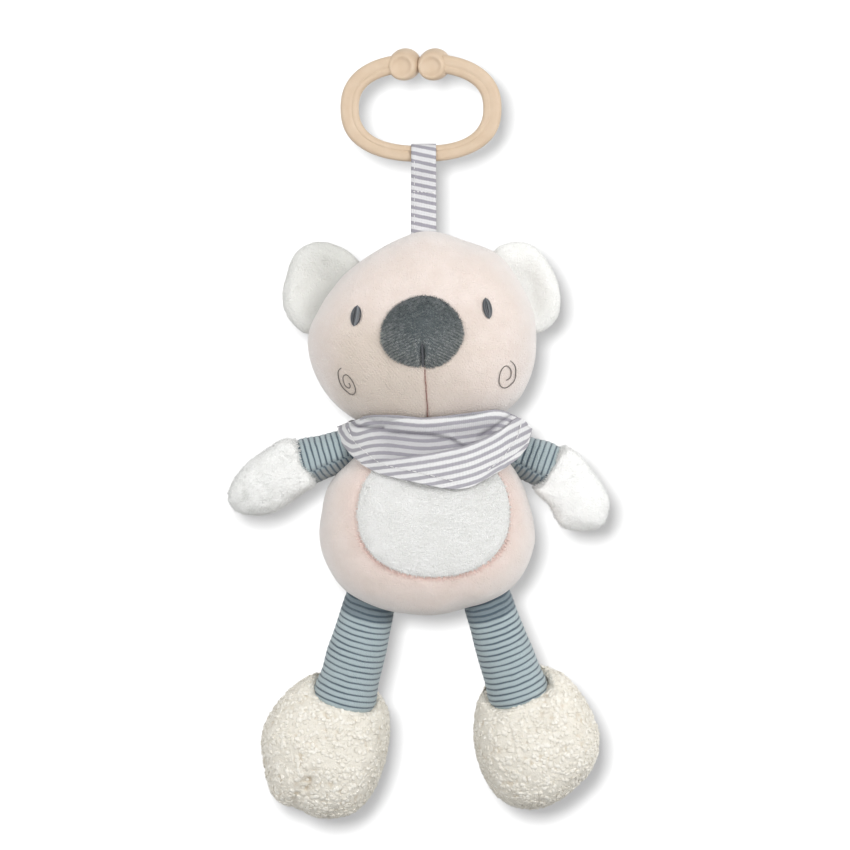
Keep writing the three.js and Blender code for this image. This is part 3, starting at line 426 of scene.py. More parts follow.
# %% Copies and stitches
def merge(parts):
    """Several point and face arrays as one."""
    offsets = np.cumsum([0] + [len(points) for points, _ in parts[:-1]])
    faces = [f + offset for (_, f), offset in zip(parts, offsets)]
    return np.concatenate([points for points, _ in parts]), np.concatenate(faces)


def strew(base, faces, places, axes):
    """Copies of a small shape: each place has three axes that stretch and turn the shape."""
    points = places[:, None] + np.einsum("bi,nij->nbj", base, axes)
    shapes = faces[None] + (np.arange(len(places)) * len(base))[:, None, None]
    return points.reshape(-1, 3), shapes.reshape(-1, faces.shape[1])


def stitches(path, out, length, gap, thick):
    """Grains of thread end to end along a path, which lie in the directions that out gives."""
    whole = np.linalg.norm(np.diff(path, axis=0), axis=1).sum()
    count = max(2, int(whole / (length + gap)))
    fine = resample(path, 2 * count + 1)
    places = fine[1::2]
    ahead = direction(fine[2::2] - fine[:-2:2])
    up = out(places)
    across = np.cross(up, ahead)
    axes = np.stack([ahead * length / 2, across * thick / 2, up * thick / 2], 1)
    return strew(*ball(2), places, axes)


print("a grain of thread has", len(ball(2)[1]), "faces")


# %% Fibres
def fibres(roots, lean, length, thick, bend, seed):
    """Bent spikes of three sides: the middle line runs along lean and bows by bend towards the tip."""
    rng = np.random.default_rng(seed)
    n = len(roots)
    length = length * rng.uniform(0.6, 1.15, n)
    sideways = direction(np.cross(lean, rng.normal(size=(n, 3))))
    third = np.cross(lean, sideways)
    stops = np.array([0.0, 0.55, 1.0])
    middle = roots[:, None] + lean[:, None] * (length[:, None] * stops)[..., None]
    middle = middle + (bend * rng.uniform(0, 1, n)[:, None] * stops**2)[..., None] * sideways[:, None]
    turn = np.arange(3) * 2 * math.pi / 3
    ring = np.cos(turn)[None, :, None] * sideways[:, None] + np.sin(turn)[None, :, None] * third[:, None]
    rings = middle[:, :2, None] + (thick * np.array([1, 0.75]))[None, :, None, None] * ring[:, None]
    points = np.concatenate([rings.reshape(n, 6, 3), middle[:, 2:]], 1)
    one = [(0, 1, 4), (0, 4, 3), (1, 2, 5), (1, 5, 4), (2, 0, 3), (2, 3, 5), (3, 4, 6), (4, 5, 6), (5, 3, 6)]
    faces = (np.array(one)[None] + 7 * np.arange(n)[:, None, None]).reshape(-1, 3)
    tone = np.repeat(rng.random(n), 7)
    return points.reshape(-1, 3), faces, tone


def tousle(roots, seed):
    """A random direction for each root."""
    return np.random.default_rng(seed).normal(size=roots.shape)


def scatter(points, faces, count, seed):
    """Random places on a mesh, even by area, with the outward direction there."""
    rng = np.random.default_rng(seed)
    corner = points[faces]
    size = np.linalg.norm(np.cross(corner[:, 2] - corner[:, 0], corner[:, -1] - corner[:, 1]), axis=1)
    pick = rng.choice(len(faces), count, p=size / size.sum())
    weight = rng.dirichlet(np.ones(faces.shape[1]), count)
    out = normals(points, faces)[faces[pick]]
    place = (corner[pick] * weight[..., None]).sum(1)
    away = (out * weight[..., None]).sum(1)
    return place, direction(away)


print("shape tools ready")

# %% [markdown]
# ## Finishes
# Every finish is a small node tree on the object's own coordinates, or on a number kept on the points where
# the pattern follows the cloth. Pile is a soft colour that wanders a little, a fine grain that breaks the
# light, and a sheen. Colours are written as they look in daylight.


# %% Finish tools
def ink(code):
    """A colour written as red, green and blue in hexadecimal, as linear light."""
    value = np.array([int(code[k : k + 2], 16) for k in (1, 3, 5)]) / 255
    return (*np.where(value <= 0.04045, value / 12.92, ((value + 0.055) / 1.055) ** 2.4), 1.0)


def start(name, roughness, sheen, specular):
    """A new finish: its material, tree, shader and the object's coordinates."""
    made = bpy.data.materials.new(name)
    made.use_nodes = True
    tree = made.node_tree
    shader = tree.nodes["Principled BSDF"]
    shader.inputs["Roughness"].default_value = roughness
    shader.inputs["Specular IOR Level"].default_value = specular
    shader.inputs["Sheen Weight"].default_value = sheen
    shader.inputs["Sheen Roughness"].default_value = 0.5
    return made, tree, shader, put(tree, "TexCoord").outputs["Object"]


def speckle(tree, where, size, detail=2.0):
    """Noise with grains of a size in millimetres, spread to fill 0 to 1."""
    grain = put(tree, "TexNoise", {"Vector": where, "Scale": 1 / (size * MM), "Detail": detail})
    return put(tree, "MapRange", {0: grain.outputs[0], 1: 0.3, 2: 0.7}).outputs[0]


def blend(tree, share, first, second):
    """A colour between two colours or sockets."""
    return put(tree, "Mix", {0: share, 6: first, 7: second}, data_type="RGBA").outputs[2]


def kept(tree, name):
    """A number kept on the piece's points."""
    return put(tree, "Attribute", attribute_name=name).outputs["Fac"]


def dress(tree, shader, colour, height, depth, strength=1.0):
    """Gives a finish its colour, and a bump of a depth in millimetres."""
    tree.links.new(colour, shader.inputs["Base Color"])
    bump = put(tree, "Bump", {"Height": height, "Strength": strength, "Distance": depth * MM})
    tree.links.new(bump.outputs[0], shader.inputs["Normal"])


def combed(tree, where, angle, period):
    """Broken slanting lines across the pile, a few grains long."""
    turned = put(tree, "Mapping", {"Vector": where, "Rotation": (0, math.radians(angle), 0)})
    look = {"Scale": 2 * math.pi / (20 * period * MM), "Distortion": 0.9, "Detail": 1.0, "Detail Scale": 2.0}
    wave = put(tree, "TexWave", {"Vector": turned.outputs[0], **look})
    return times(tree, wave.outputs["Fac"], speckle(tree, where, 2.2, 1.0))


def pile(name, light, shade, grain, depth, sheen=0.25, tint=None, comb=None, nap=None):
    """Short pile: two tones that wander over some millimetres, under a fine grain. Where the kept number comb
    is high, the colour is pulled towards a duller colour, which is painted shade, and where lines are asked
    for the pile also shows combed lines."""
    made, tree, shader, where = start(name, 0.95, sheen, 0.1)
    broad = speckle(tree, where, 9.0)
    fine = speckle(tree, where, grain, 3.0)
    colour = blend(tree, broad, ink(light), ink(shade))
    colour = blend(tree, times(tree, fine, 0.35), colour, ink(shade))
    if tint:
        # painted sheen: the velour is painted paler where it turns away to the sides
        colour = blend(tree, times(tree, kept(tree, "bloom"), 0.55), colour, ink("#fdf9f6"))
        colour = blend(tree, kept(tree, "seam"), colour, ink(tint))
    height = fine
    # painted shade: the duller colour darkens the pile where comb is high
    if nap:
        lies = kept(tree, "comb")
        colour = blend(tree, times(tree, lies, 0.55), colour, ink(nap))
    if comb:
        lines = times(tree, combed(tree, where, *comb), lies)
        colour = blend(tree, times(tree, lines, 0.3), colour, ink(nap))
        height = put(tree, "Math", {0: lines, 1: 0.4, 2: fine}, operation="MULTIPLY_ADD").outputs[0]
    dress(tree, shader, colour, height, depth)
    return made


# %% Plush
velour = pile("beige_velour", "#efe2db", "#e7d8cf", 0.7, 0.35, 0.6, "#e2bfb5", (38, 1.3), "#d2c5b7")
white_plush = pile("white_plush", "#fafaf9", "#f4f4f2", 0.8, 0.25, 0.15, nap="#c4c6c2")
ear_plush = pile("ear_plush", "#fbfbf9", "#f4f4f1", 0.8, 0.3, 0.15, nap="#c4c4be")
patch_plush = pile("patch_plush", "#ebebea", "#e2e2e0", 0.8, 0.35, 0.15)
grey_plush = pile("grey_plush", "#646d70", "#586164", 0.7, 0.8, 0.3)
print("plush finishes ready")


# %% Loose pile, ribs, fleece, stripes, thread and hard stuff
def strands(name, low, high, roughness=0.9, specular=0.1, sheen=0.3):
    """Loose pile or laid thread: each fibre has its own tone between two."""
    made, tree, shader, _ = start(name, roughness, sheen, specular)
    tree.links.new(blend(tree, kept(tree, "tone"), ink(low), ink(high)), shader.inputs["Base Color"])
    return made


def ribbed(name, rib, dip, light):
    """Ribbed velour: darker dips between the ribs, and paler grains of pile on top. Painted shade darkens the
    sleeve's lower side and the top of each leg.
    """
    made, tree, shader, where = start(name, 0.9, 0.35, 0.1)
    fine = speckle(tree, where, 0.5, 3.0)
    colour = blend(tree, times(tree, fine, 0.5), ink(rib), ink(light))
    # painted shade on the sleeve's lower side
    colour = blend(tree, kept(tree, "under"), colour, ink("#8a8c8b"))
    # the dips, and painted shade at the top of a leg
    colour = blend(tree, kept(tree, "groove"), colour, ink(dip))
    dress(tree, shader, colour, fine, 0.25)
    return made


def fleece(name, curl, pit):
    """Curly fleece: cream curls over pits that are painted tan as shade."""
    made, tree, shader, where = start(name, 1.0, 0.15, 0.05)
    fine = speckle(tree, where, 0.6, 3.0)
    colour = blend(tree, kept(tree, "pit"), ink(curl), ink(pit))
    colour = blend(tree, times(tree, fine, 0.3), colour, ink("#f3ebdb"))
    dress(tree, shader, colour, fine, 0.2)
    return made


def stripes(name, period, share, grey, white):
    """Striped jersey along the cloth's own second coordinate, with the weave as a fine check. Painted shade
    darkens it under the chin and below its tucks."""
    made, tree, shader, _ = start(name, 0.9, 0.15, 0.15)
    own = put(tree, "UVMap").outputs[0]
    parts = put(tree, "SeparateXYZ", {0: own})
    wobble = put(tree, "TexNoise", {"Vector": own, "Scale": 500, "Detail": 2.0})
    count = times(tree, parts.outputs[1], 1 / (period * MM))
    shifted = put(tree, "Math", {0: wobble.outputs[0], 1: 0.12, 2: count}, operation="MULTIPLY_ADD")
    half = put(tree, "Math", {0: shifted.outputs[0], 1: 0.5}, operation="PINGPONG")
    edges = {0: half.outputs[0], 1: share / 2 - 0.07, 2: share / 2 + 0.07}
    edge = put(tree, "MapRange", edges, interpolation_type="SMOOTHSTEP")
    colour = blend(tree, edge.outputs[0], ink(grey), ink(white))
    fine = speckle(tree, own, 0.45, 2.0)
    colour = blend(tree, times(tree, fine, 0.16), colour, ink("#b9b7bb"))
    # painted shade under the chin and below the tucks
    colour = blend(tree, times(tree, kept(tree, "dull"), 0.38), colour, ink("#827f88"))
    yarn = {"Vector": own, "Scale": 260, "Distortion": 1.0}
    first, second = (put(tree, "TexWave", yarn, bands_direction=way).outputs["Fac"] for way in "XY")
    weave = put(tree, "Math", {0: first, 1: second}, operation="ADD")
    dress(tree, shader, colour, weave.outputs[0], 0.06)
    return made


def thread(name, light, shade, roughness=0.6):
    """Twisted thread: two tones in a fine grain."""
    made, tree, shader, where = start(name, roughness, 0.2, 0.3)
    fine = speckle(tree, where, 0.35)
    dress(tree, shader, blend(tree, fine, ink(light), ink(shade)), fine, 0.1)
    return made


def hard(name, light, shade, roughness, metal, grain, depth):
    """Plastic or metal: two close tones and a faint unevenness of the surface."""
    made, tree, shader, where = start(name, roughness, 0.0, 0.4)
    shader.inputs["Metallic"].default_value = metal
    cloud = speckle(tree, where, grain)
    dress(tree, shader, blend(tree, cloud, ink(light), ink(shade)), cloud, depth, 0.4)
    return made


print("six more kinds of finish")

# %% The other finishes
nose_pile = strands("nose_pile", "#434d50", "#c4c8c6")
white_pile = strands("white_pile", "#e3e4e1", "#fdfdfc")
ear_pile = strands("ear_pile", "#d9d9d4", "#fdfdfb")
patch_tufts = strands("patch_tufts", "#ebebe8", "#f5f5f3")
fleece_pile = strands("fleece_pile", "#e4dfd4", "#f1eee6", 1.0, 0.0, 0.0)
rib_velour = ribbed("ribbed_velour", "#a7b6ba", "#53626d", "#bac7ca")
cream_fleece = fleece("cream_fleece", "#ebe7dd", "#cfc2ae")
scarf_cloth = stripes("scarf_stripes", 3.5, 0.48, "#a19fa6", "#e0e0e0")
strap_cloth = stripes("strap_stripes", 3.62, 0.46, "#98969f", "#d8d8da")
eye_thread = strands("eye_thread", "#2a2d32", "#999da1", 0.45, 0.35)
dark_thread = thread("dark_thread", "#3a3c40", "#5d6065", 0.38)
spiral_thread = thread("spiral_thread", "#5d5651", "#7d756f")
brown_thread = thread("brown_thread", "#8a5c53", "#a07a70")
pink_thread = thread("pink_thread", "#e0c3b9", "#ebd5cd")
white_thread = thread("white_thread", "#f2f1f0", "#dddbdb")
ring_plastic = hard("ring_plastic", "#ceb9a1", "#c9b298", 0.45, 0.0, 6.0, 0.05)
steel = hard("steel", "#a9abad", "#96999c", 0.3, 1.0, 1.5, 0.02)
brass = hard("brass", "#c9a558", "#b8923f", 0.3, 1.0, 1.5, 0.02)
case_plastic = hard("case_plastic", "#e8e8e4", "#dededa", 0.5, 0.0, 3.0, 0.03)
cord_braid = thread("cord_braid", "#e9e6dd", "#d6d2c6", 0.8)
stuffing = pile("stuffing", "#f4f4f2", "#e9e9e6", 1.2, 0.8)
print("materials in all, with those of the stage and the CAD model:", len(bpy.data.materials))


# %% Settling a piece, and giving cloth its thickness
def settle(made, body=None, nodes=()):
    """Gives a piece its body, and hides the CAD nodes that it stands for."""
    if body:
        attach(made, body)
    if nodes:
        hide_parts(*nodes)
    return made


def thicken(made, thickness):
    """Gives a sheet a thickness in millimetres, half of it to each side."""
    thick = made.modifiers.new("thickness", "SOLIDIFY")
    thick.thickness = thickness * MM
    thick.offset = 0


print("ready to settle pieces")

# %% [markdown]
# ## The hanging ring
# A moulded plastic bar bent into a squarish C, with a dished knob on each end, so that it clips over a cot
# rail. The bar's section is carried round a super-ellipse. A shallow line round its front stands for the
# mould's parting line.

# %% Ring bar and knobs
RING_MIDDLE = -12.1
RING_HALF = (32.8, 20.9)
BAR_HALF = (4.25, 3.2)
SQUARE = 2 / 2.4
KNOB_Z = 7.6
KNOBS_X = (-7.2, 6.4)
KNOB_SHIFT = (0.84, 1.33)
KNOB_SLIP = (2.94, 2.12)
BAR_GAPS = (18.1, 12.2)  # degrees from the top to the bar's left and right end


def power(value, exponent):
    """A power that keeps the sign."""
    return np.sign(value) * np.abs(value) ** exponent


def ring_bar():
    """Super-ellipse from one knob round the bottom to the other, with an oval section in its own plane."""
    gaps = np.radians(BAR_GAPS)
    turn = np.linspace(math.pi / 2 + gaps[0], 2.5 * math.pi - gaps[1], 900)
    x, z = RING_HALF[0] * power(np.cos(turn), SQUARE), RING_HALF[1] * power(np.sin(turn), SQUARE)
    path = resample(np.stack([x, RING_MIDDLE + z], 1), 240)
    ahead = direction(np.gradient(path, axis=0))
    q = full_turn(128)
    a, b = BAR_HALF[0] * power(np.cos(q), 0.62), BAR_HALF[1] * power(np.sin(q), 0.55)
    b = b + 0.42 * hump(a + 0.9, 0.36) * (b < 0)
    slim = 1 - 0.13 * ease(-path[:, 1], 20, 32)
    size = np.ones(len(path))
    size[[0, -1]] = 0.05
    across = (size * slim)[:, None] * a
    x = path[:, :1] + across * ahead[:, 1:]
    z = path[:, 1:] - across * ahead[:, :1]
    y = size[:, None] * b * np.ones_like(x)
    return closed(np.stack([x, y, z], -1).reshape(-1, 3), grid_faces(len(path), len(q), True))


def knob(x):
    """A turned button with a rounded edge and a shallow dish, its front face slipped down and to the left."""
    half = [
        (0.02, -2.7), (2.0, -2.8), (3.3, -3.2), (4.3, -3.8), (5.0, -4.0), (5.8, -3.6), (6.6, -2.4),
        (7.05, -0.8),
    ]
    back = [(7.3, 0.8), (7.3, 2.3), (6.7, 3.5), (5.4, 4.0), (3.0, 4.0), (0.02, 4.0)]
    profile = curve(half + back, 60)
    turn = full_turn(72)
    r, y = profile[:, :1], profile[:, 1:] * np.ones((1, len(turn)))
    slip = 0.5 - y / 9.6
    across = x + KNOB_SHIFT[0] + r * np.cos(turn) - KNOB_SLIP[0] * slip
    up = KNOB_Z + KNOB_SHIFT[1] + r * np.sin(turn) - KNOB_SLIP[1] * slip
    points = np.stack([across, y, up], -1)
    return closed(points.reshape(-1, 3), grid_faces(len(profile), len(turn), True))


ring = piece("ring", *merge([ring_bar()] + [knob(x) for x in KNOBS_X]), ring_plastic)
settle(ring, "ring", ["hanging_ring"])
print("ring", len(ring.data.polygons), "faces")

# %% [markdown]
# ## The strap and the pull cord
# A striped jersey tape is folded over the ring's bar, and its two layers are sewn together below. The cord of
# the musical movement hangs inside it. When the bear is pulled down, the cord comes out of the crown between
# the strap and the head.

# %% Strap
STRAP_X = 1.2
STRAP_WIDTH = 11.3
BAR_Z = -33.0
STRAP_END = -76.5
TAPE = 0.7

front_run = [
    (-0.5, STRAP_END), (-0.5, -63), (-0.6, -52), (-2.0, -45), (-4.1, -38.4), (-4.6, BAR_Z), (-3.3, -29.9),
]
strap_run = curve(front_run + [(0, -28.7)] + [(-y, z) for y, z in front_run[::-1]], 220)
strap_length = np.linalg.norm(np.diff(strap_run, axis=0), axis=1).sum()


def strap_grid():
    """Across the tape by along its run; it widens a little towards the head."""
    across = np.linspace(-0.5, 0.5, 15)
    along = np.linspace(0, strap_length, len(strap_run))
    low = ease(-strap_run[:, 1], -BAR_Z, -STRAP_END)
    x = STRAP_X + (STRAP_WIDTH + 0.3 * low[:, None]) * across
    y, z = (np.repeat(strap_run[:, k : k + 1], len(across), 1) for k in (0, 1))
    front = np.where(strap_run[:, :1] < 0, -1.0, 1.0)
    y = y - front * 0.35 * ease(np.abs(across), 0.36, 0.5)
    points = np.stack([x, y, z], -1).reshape(-1, 3)
    points[:, 1] += 0.18 * noise(points, 4.0, 3)
    slant = along[:, None] - 0.21 * front * (x - STRAP_X)
    flat = np.stack(np.broadcast_arrays(x, slant), -1).reshape(-1, 2)
    return points, grid_faces(len(strap_run), len(across)), flat


points, faces, flat = strap_grid()
strap = piece("strap_tape", points, faces, strap_cloth, flat)
thicken(strap, TAPE)
settle(strap, "strap", ["strap"])


def towards_viewer(places):
    """One direction for all places: out of the picture."""
    return np.broadcast_to([0.0, -1.0, 0.0], places.shape)


def strap_front(x, z):
    """Places on the front of the strap."""
    half = len(strap_run) // 2
    return np.stack([x, np.interp(z, strap_run[:half, 1], strap_run[:half, 0]) - 0.6, z], 1)


hem = strap_front(np.full(60, STRAP_X - 4.3), np.linspace(-36, -68, 60))
tack = strap_front(np.linspace(STRAP_X - 5.2, STRAP_X + 5.2, 40), np.linspace(-50.4, -50.9, 40))
seam = merge([stitches(hem, towards_viewer, 1.5, 0.9, 0.35), stitches(tack, towards_viewer, 1.1, 0.5, 0.5)])
strap_thread = settle(piece("strap_stitches", *seam, white_thread), "strap")
print("strap length", round(strap_length, 1), "mm")

# %% Pull cord
CORD = 1.2
cord_low, cord_high = (np.array(corner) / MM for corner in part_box("pull_cord"))
cord_middle = (cord_low + cord_high) / 2
cord_path = np.tile(cord_middle, (90, 1))
cord_path[:, 2] = np.linspace(cord_high[2], cord_low[2], 90)
pull_cord = piece("pull_cord_braid", *tube(cord_path, CORD / 2, 10), cord_braid)
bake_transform(pull_cord)
settle(pull_cord, None, ["pull_cord"])

# %% [markdown]
# ## The head
# Two velour panels sewn round the side and stuffed, with a short seam from the nose to the chin. The outline
# is measured from the picture. The depth is taken from the ball-like shading and from toys of this kind. A
# stuffed skin is never quite even, so it is moved in and out by slow noise, and drawn in along the seams.

# %% Head skin
HEAD_OUTLINE = [
    (1.6, -68.5), (-11.3, -72.6), (-28.5, -82.6), (-39.5, -93.1), (-47.7, -105.8), (-51.5, -115.4),
    (-51.3, -124.9), (-47.2, -136.7), (-41.3, -145.4), (-32.7, -153.6), (-16.6, -161.5), (1.4, -164.7),
    (20.2, -161.0), (33.6, -155.5), (40.6, -150.8), (46.0, -144.9), (49.7, -137.6), (52.4, -127.6),
    (52.9, -116.7), (51.5, -105.8), (45.1, -92.1), (33.3, -78.1), (21.5, -73.5), (8.7, -69.2),
]
HEAD_DEEP = 43.0
CHIN_SEAM = [(1.7, -131.0), (2.3, -141.7), (3.2, -156.0)]


def head_fullness(angle):
    """Flat-fronted towards the sides and the crown, and rounder under the chin."""
    return 2.45 - 0.45 * np.clip(-np.sin(angle), 0, 1) ** 2


head_form = Form(HEAD_OUTLINE, (0.7, -118.0), 0.0, HEAD_DEEP, HEAD_DEEP, head_fullness)


def drawn_in(across, width, depth):
    """The valley that a line of stitches pulls into a stuffed skin."""
    return -depth * hump(across, width)


def chin_x(z):
    """Where the chin seam lies at a height."""
    places, heights = np.array(CHIN_SEAM)[::-1].T
    return np.interp(z, heights, places)


def bloom(points, faces):
    """Painted sheen: how much paler the velour is painted where it turns away to the sides."""
    return ease(normals(points, faces)[:, 1], -0.75, -0.1)


def head_skin():
    """The stuffed head, with its seams drawn in, how far each point is pink, and how far it is combed down,
    which also paints shade on the lower left of the face.
    """
    unit, faces = ball(110)
    points = head_form.cover(unit)
    x, y, z = points.T
    front = ease(-y, 0, 6)
    chin = front * ease(-z, 128, 134)
    move = 0.5 * noise(points, 21.0, 11) + 0.22 * noise(points, 8.0, 12)
    move = move + chin * drawn_in(x - chin_x(z), 2.0, 0.6) + drawn_in(y - 1.5, 1.8, 0.7)
    move = move + ease(y, 0, 6) * drawn_in(x - 1.0, 1.8, 0.8)
    # painted shade: the lower left of the face is combed, and so painted duller
    comb = 1.25 * ease(-z, 98, 124) * ease(-x, -45, 15) * (1 - 0.9 * ease(-x, 32, 46)) * ease(-y, 0, 16)
    seam = 0.5 * chin * hump(x - chin_x(z), 1.1)
    return push(points, faces, move), faces, seam, comb


points, faces, seam, comb = head_skin()
head = piece("head_skin", points, faces, velour, seam=seam, comb=comb, bloom=bloom(points, faces))
settle(head, "head", ["head_front", "head_back", "head_stuffing"])
print("head", len(points), "points")

# %% [markdown]
# ## Nose, eyes, cheek spirals and chin
# The nose is a separate pad of long grey pile, pinched by a seam in its lower half. Real fibres stand on it,
# because long pile shows at the pad's edge. The eyes and the spirals on the cheeks are embroidered: a satin
# stitch is a row of threads laid side by side, and a spiral is one line of small stitches.

# %% Nose
NOSE_OUTLINE = [
    (0.6, -98.1), (-10.3, -102.2), (-15.8, -107.6), (-18.5, -114.9), (-18.5, -120.3), (-14.9, -126.7),
    (-9.4, -130.4), (-2.2, -132.2), (3.3, -132.6), (9.7, -131.2), (15.1, -126.7), (19.2, -119.4),
    (19.7, -114.9), (17.8, -108.5), (12.4, -102.2), (6.9, -99.0),
]
NOSE_HAIRS = 21000
NOSE_SEAM = 0.75
nose_form = Form(NOSE_OUTLINE, (0.6, -115.8), -38.6, 12.4, 3.0, 2.15)


def nose_pad():
    """The cushion under the pile, pinched along its seam."""
    unit, faces = ball(56)
    points = nose_form.cover(unit)
    points[:, [0, 2]] = nose_form.centre + [0.985, 0.955] * (points[:, [0, 2]] - nose_form.centre)
    x, y, z = points.T
    low = ease(-z, 119, 124)
    pinch = low * drawn_in(x - 0.8, 1.3, 2.8)
    points[:, 1] -= pinch * (y < -38) - 0.4 * noise(points, 5.0, 21) * (y < -38)
    return points, faces


def nose_fibres(points, faces):
    """Pile combed down to both sides of the seam and up above it; locks share a tone, which draws streaks."""
    roots, out = scatter(points, faces, NOSE_HAIRS, 22)
    furrow = (np.abs(roots[:, 0] - NOSE_SEAM) < 0.55) & (roots[:, 2] < -120.8)
    shown = (roots[:, 1] < -37) & ~furrow
    roots, out = roots[shown], out[shown]
    x, _, z = roots.T
    low = ease(-z, 107, 119)
    steep = 0.42 + 0.9 * hump(x - NOSE_SEAM, 3.5) * ease(-z, 121, 128)
    down = np.stack([0.9 * np.tanh((x - NOSE_SEAM) / 1.5), 0 * x, -steep], 1)
    up = (roots - [0.6, 0.0, -113.0]) * [0.06, 0, 0.06]
    comb = low[:, None] * down + (1 - low[:, None]) * up
    comb /= np.linalg.norm(comb, axis=1)[:, None] + 1e-9
    rim = nose_form.share(x, z)
    flat = (0.4 + 0.6 * low) * (1 - 0.7 * ease(rim, 0.7, 0.97))
    wild = (0.42 - 0.32 * low)[:, None] * tousle(roots, 23)
    lean = direction(0.4 * out + flat[:, None] * comb + wild)
    made, shape, tone = fibres(roots - 0.4 * out, lean, 1.55, 0.125, 0.2, 24)
    lock = np.sin(4.6 * (0.9 * z + 0.42 * np.abs(x - NOSE_SEAM)) + 1.7 * noise(roots, 3.5, 25))
    beside = hump(np.abs(x - NOSE_SEAM) - 1.5, 0.9) * ease(-z, 117, 121) * ease(132 + z, 0, 6)
    own = (0.03 + 0.2 * low) * lock + (0.42 - 0.22 * low) * noise(roots, 1.1, 26)
    own = own + 0.5 * beside + 0.3 * low - 0.02
    return made, shape, np.clip(0.3 * tone + np.repeat(own, 7), 0, 1)


points, faces = nose_pad()
settle(piece("nose_pad", points, faces, grey_plush), "head", ["nose"])
points, faces, tone = nose_fibres(points, faces)
settle(piece("nose_pile", points, faces, nose_pile, tone=tone), "head")
seam_path = nose_form.on(curve([(0.5, -120.5), (0.7, -126.0), (0.9, -131.5)], 30), -1.0)
settle(piece("nose_seam", *tube(seam_path, 0.55, 8), dark_thread), "head")
print("nose fibres", len(points) // 7)

# %% Eyes
EYES = {"left": ((-29.7, -108.1), 10), "right": ((30.2, -104.7), -10)}
EYE_HALF = (1.95, 5.05)


def leaning(middle, lean, across, up):
    """Places in the picture that lie across and up from the middle of a leaning shape."""
    turn = math.radians(-lean)
    x = middle[0] + across * math.cos(turn) - up * math.sin(turn)
    return x, middle[1] + across * math.sin(turn) + up * math.cos(turn)


def eye_stitches(middle, lean, seed):
    """Threads side by side from end to end of a leaning lens; each bows off the head in its middle."""
    count, steps = 11, 15
    across = np.linspace(-1, 1, count)[:, None]
    up = np.linspace(-1, 1, steps)[None]
    rng = np.random.default_rng(seed)
    a = EYE_HALF[0] * across * (1 - up**2) ** 0.62 + 0.18 * rng.normal(size=(count, 1)) * (1 - up**2)
    b = EYE_HALF[1] * up * (1 - 0.1 * across**2)
    x, z = leaning(middle, lean, a, b)
    lift = 0.15 + 0.8 * np.sqrt(1 - 0.98 * up**2) * np.sqrt(1 - 0.7 * across**2)
    paths = np.stack([x, head_form.face(x, z) - lift, z], -1)
    tubes = [tube(path, 0.3, 6) for path in paths]
    tone = 0.3 * rng.random(count) ** 2
    # painted highlight: the threads a little to one side of the middle are made paler
    tone = tone + 0.6 * hump(across[:, 0] - 0.28, 0.3) * rng.uniform(0.7, 1, count)
    return merge(tubes), np.repeat(tone, len(tubes[0][0]))


def eye_pad(middle, lean):
    """A low cushion under the threads, so that no velour shows between them."""
    unit, faces = ball(14)
    x, z = leaning(middle, lean, 0.9 * EYE_HALF[0] * unit[:, 0], 0.88 * EYE_HALF[1] * unit[:, 2])
    return np.stack([x, head_form.face(x, z) + 0.75 * unit[:, 1], z], 1), faces


for seed, (side, (middle, lean)) in enumerate(EYES.items()):
    threads, tone = eye_stitches(middle, lean, 31 + seed)
    pad = eye_pad(middle, lean)
    tone = np.append(tone, np.zeros(len(pad[0])))
    eye = piece(side + "_eye_stitches", *merge([threads, pad]), eye_thread, tone=tone)
    settle(eye, "head", [side + "_eye"])
print("eyes", len(eye.data.polygons), "faces each")

# %% Cheek spirals and the chin seam
SPIRALS = {
    "left": [
        (-36.2, -131.8), (-37.6, -133.0), (-37.8, -134.8), (-37.3, -137.5), (-36.6, -139.3),
        (-35.0, -141.5), (-33.2, -143.1), (-31.6, -144.0), (-30.4, -143.5), (-29.9, -142.3),
        (-30.1, -140.5), (-31.2, -138.0), (-32.6, -136.0), (-34.2, -134.9), (-35.2, -135.3),
        (-35.5, -137.2), (-34.9, -139.2), (-33.8, -140.5), (-32.6, -140.9), (-32.3, -139.9),
        (-33.0, -138.6),
    ],
    "right": [
        (40.6, -128.4), (42.7, -130.5), (43.3, -134.2), (42.7, -137.4), (40.5, -139.8), (37.9, -140.9),
        (36.2, -139.8), (35.7, -136.4), (36.6, -132.9), (39.0, -130.9), (40.8, -132.3), (41.2, -134.2),
        (40.5, -136.4), (38.7, -137.5),
    ],
}


def spiral_thread_path(corners, seed):
    """One line of stitches, which sinks into the pile along parts of its way."""
    path = curve(corners, 150)
    along = np.zeros((150, 3))
    along[:, 0] = 0.05 * np.arange(150)
    laid = head_form.on(path, 0.02)
    laid[:, 1] += 0.16 * noise(along, 1.0, seed)
    return laid


for seed, (side, corners) in enumerate(SPIRALS.items()):
    path = spiral_thread_path(corners, 36 + seed)
    made = merge([tube(path, 0.25, 6), stitches(path, towards_viewer, 1.5, 0.3, 0.56)])
    spiral = piece(side + "_spiral_stitches", *made, spiral_thread)
    settle(spiral, "head", [side + "_cheek_spiral"])

chin_path = head_form.on(curve(CHIN_SEAM, 80), -0.35)
chin_path[:, 0] += 0.25 * noise(chin_path, 2.5, 35)
chin = [stitches(chin_path, towards_viewer, 1.1, 0.3, 0.6), tube(chin_path + [0, 0.15, 0], 0.22, 6)]
settle(piece("chin_stitches", *merge(chin), brown_thread), "head")
print("spirals and chin sewn")
